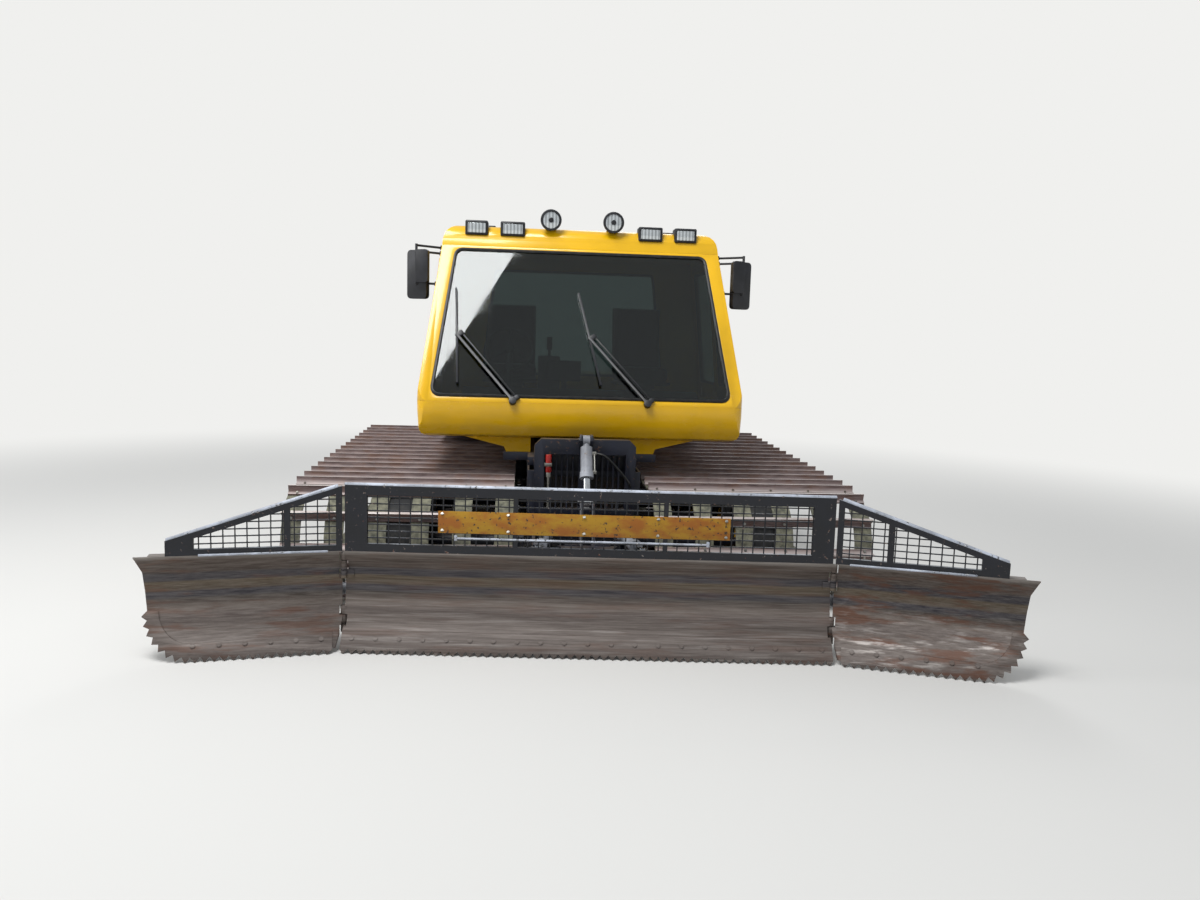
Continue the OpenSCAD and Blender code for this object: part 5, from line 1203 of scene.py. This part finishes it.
class GROOMER_OT_stage(bpy.types.Operator):
    """Make the floor, the lights and the camera"""

    bl_idname = "groomer.stage"
    bl_label = "Stage"

    def execute(self, context):
        scene = context.scene
        scene.view_settings.view_transform = "Standard"
        self.floor()
        self.lights(scene)
        self.camera(scene)
        return {"FINISHED"}

    def floor(self):
        """A pale matt floor that takes the shadow near the machine and meets the background further off."""
        bpy.ops.mesh.primitive_plane_add(size=400)
        floor = bpy.context.active_object
        floor.name = "floor"
        made, add, place = start("pale_floor")
        matt = add("BsdfPrincipled", {"Base Color": linear("D3D2CF"), "Roughness": 0.9})
        distance = add("VectorMath", {0: place}, "Value", operation="LENGTH")
        far = {"Value": distance, "From Min": 4.8, "From Max": 12.0}
        far = add("MapRange", far, interpolation_type="SMOOTHSTEP")
        # Rays that show the background: straight from the camera, by a reflection or through glass
        shown = self.any_ray(add, "Is Camera Ray", "Is Glossy Ray", "Is Transmission Ray")
        seen = add("Math", {0: far, 1: shown})
        pale = add("Emission", {"Color": linear(BACKGROUND), "Strength": 1.0})
        add("OutputMaterial", {"Surface": add("MixShader", {0: seen, 1: matt, 2: pale})})
        floor.data.materials.append(made)

    def any_ray(self, add, first, *others):
        """1 for a ray of any of the named kinds."""
        found = add("LightPath", out=first)
        for other in others:
            found = add("Math", {0: found, 1: add("LightPath", out=other)}, operation="MAXIMUM")
        return found

    def lights(self, scene):
        world = bpy.data.worlds.new("studio")
        scene.world = world
        world.use_nodes = True
        world.node_tree.nodes.clear()
        add = partial(wire, world.node_tree)
        soft = add("Background", {"Color": linear("E6EAEE"), "Strength": 0.62})
        pale = add("Background", {"Color": linear(BACKGROUND), "Strength": 1.0})
        through = self.any_ray(add, "Is Camera Ray", "Is Transmission Ray")
        add("OutputWorld", {"Surface": add("MixShader", {0: through, 1: soft, 2: pale})})
        for name, place, aim, size, power in (
            # The windshield mirrors the key light in its upper corner, as the photo's does the sky
            ("key_light", (-2.9, -5.0, 9.4), (-0.4, -1.5, 0.6), 4.0, 760),
            ("side_light", (-9.0, -3.0, 5.0), (0, -0.5, 1.0), 3.0, 150),
            ("rear_light", (3.0, 9.0, 8.0), (0, 0, 1.2), 5.0, 350),
        ):
            data = bpy.data.lights.new(name, "AREA")
            data.size = size
            data.energy = power
            lamp = bpy.data.objects.new(name, data)
            scene.collection.objects.link(lamp)
            lamp.location = place
            lamp.rotation_euler = (Vector(aim) - Vector(place)).to_track_quat("-Z", "Y").to_euler()

    def camera(self, scene):
        turn, down, roll = (math.radians(a) for a in (CAMERA_TURN, CAMERA_DOWN, CAMERA_ROLL))
        ahead = Vector((math.sin(turn) * math.cos(down), math.cos(turn) * math.cos(down), -math.sin(down)))
        right = Vector((math.cos(turn), -math.sin(turn), 0))
        above = right.cross(ahead)
        side = right * math.cos(roll) + above * math.sin(roll)
        top = -right * math.sin(roll) + above * math.cos(roll)
        data = bpy.data.cameras.new("camera")
        data.sensor_width = 36
        data.lens = FOCAL_PX / FRAME_PX * data.sensor_width
        data.clip_end = 600
        camera = bpy.data.objects.new("camera", data)
        scene.collection.objects.link(camera)
        turned = Matrix((side, top, -ahead)).transposed().to_4x4()
        camera.matrix_world = Matrix.Translation(at(*CAMERA_AT)) @ turned
        scene.camera = camera


class GROOMER_PT_panel(bpy.types.Panel):
    """Lists the groomer's operators and settings"""

    bl_idname = "GROOMER_PT_panel"
    bl_label = "Snow groomer"
    bl_space_type = "VIEW_3D"
    bl_region_type = "UI"
    bl_category = "Groomer"

    def draw(self, context):
        for group in (context.scene.groomer_sizes, context.scene.groomer_colours):
            for name in group.bl_rna.properties.keys():
                if name not in ("rna_type", "name"):
                    self.layout.prop(group, name)
        for operator in OPERATORS:
            self.layout.operator(operator.bl_idname)


OPERATORS = (
    GROOMER_OT_materials, GROOMER_OT_panels, GROOMER_OT_seals, GROOMER_OT_lamps, GROOMER_OT_mirrors,
    GROOMER_OT_tracks, GROOMER_OT_wheels, GROOMER_OT_blade, GROOMER_OT_rams, GROOMER_OT_deck,
    GROOMER_OT_tiller, GROOMER_OT_seats, GROOMER_OT_controls, GROOMER_OT_stage,
)
CLASSES = (GroomerSizes, GroomerColours, *OPERATORS, GROOMER_PT_panel)


def register():
    for part in CLASSES:
        bpy.utils.register_class(part)
    bpy.types.Scene.groomer_sizes = bpy.props.PointerProperty(type=GroomerSizes)
    bpy.types.Scene.groomer_colours = bpy.props.PointerProperty(type=GroomerColours)


def unregister():
    del bpy.types.Scene.groomer_colours
    del bpy.types.Scene.groomer_sizes
    for part in reversed(CLASSES):
        bpy.utils.unregister_class(part)


def main():
    register()
    for operator in OPERATORS:
        getattr(bpy.ops.groomer, operator.bl_idname.split(".")[1])()


if __name__ == "__main__":
    main()
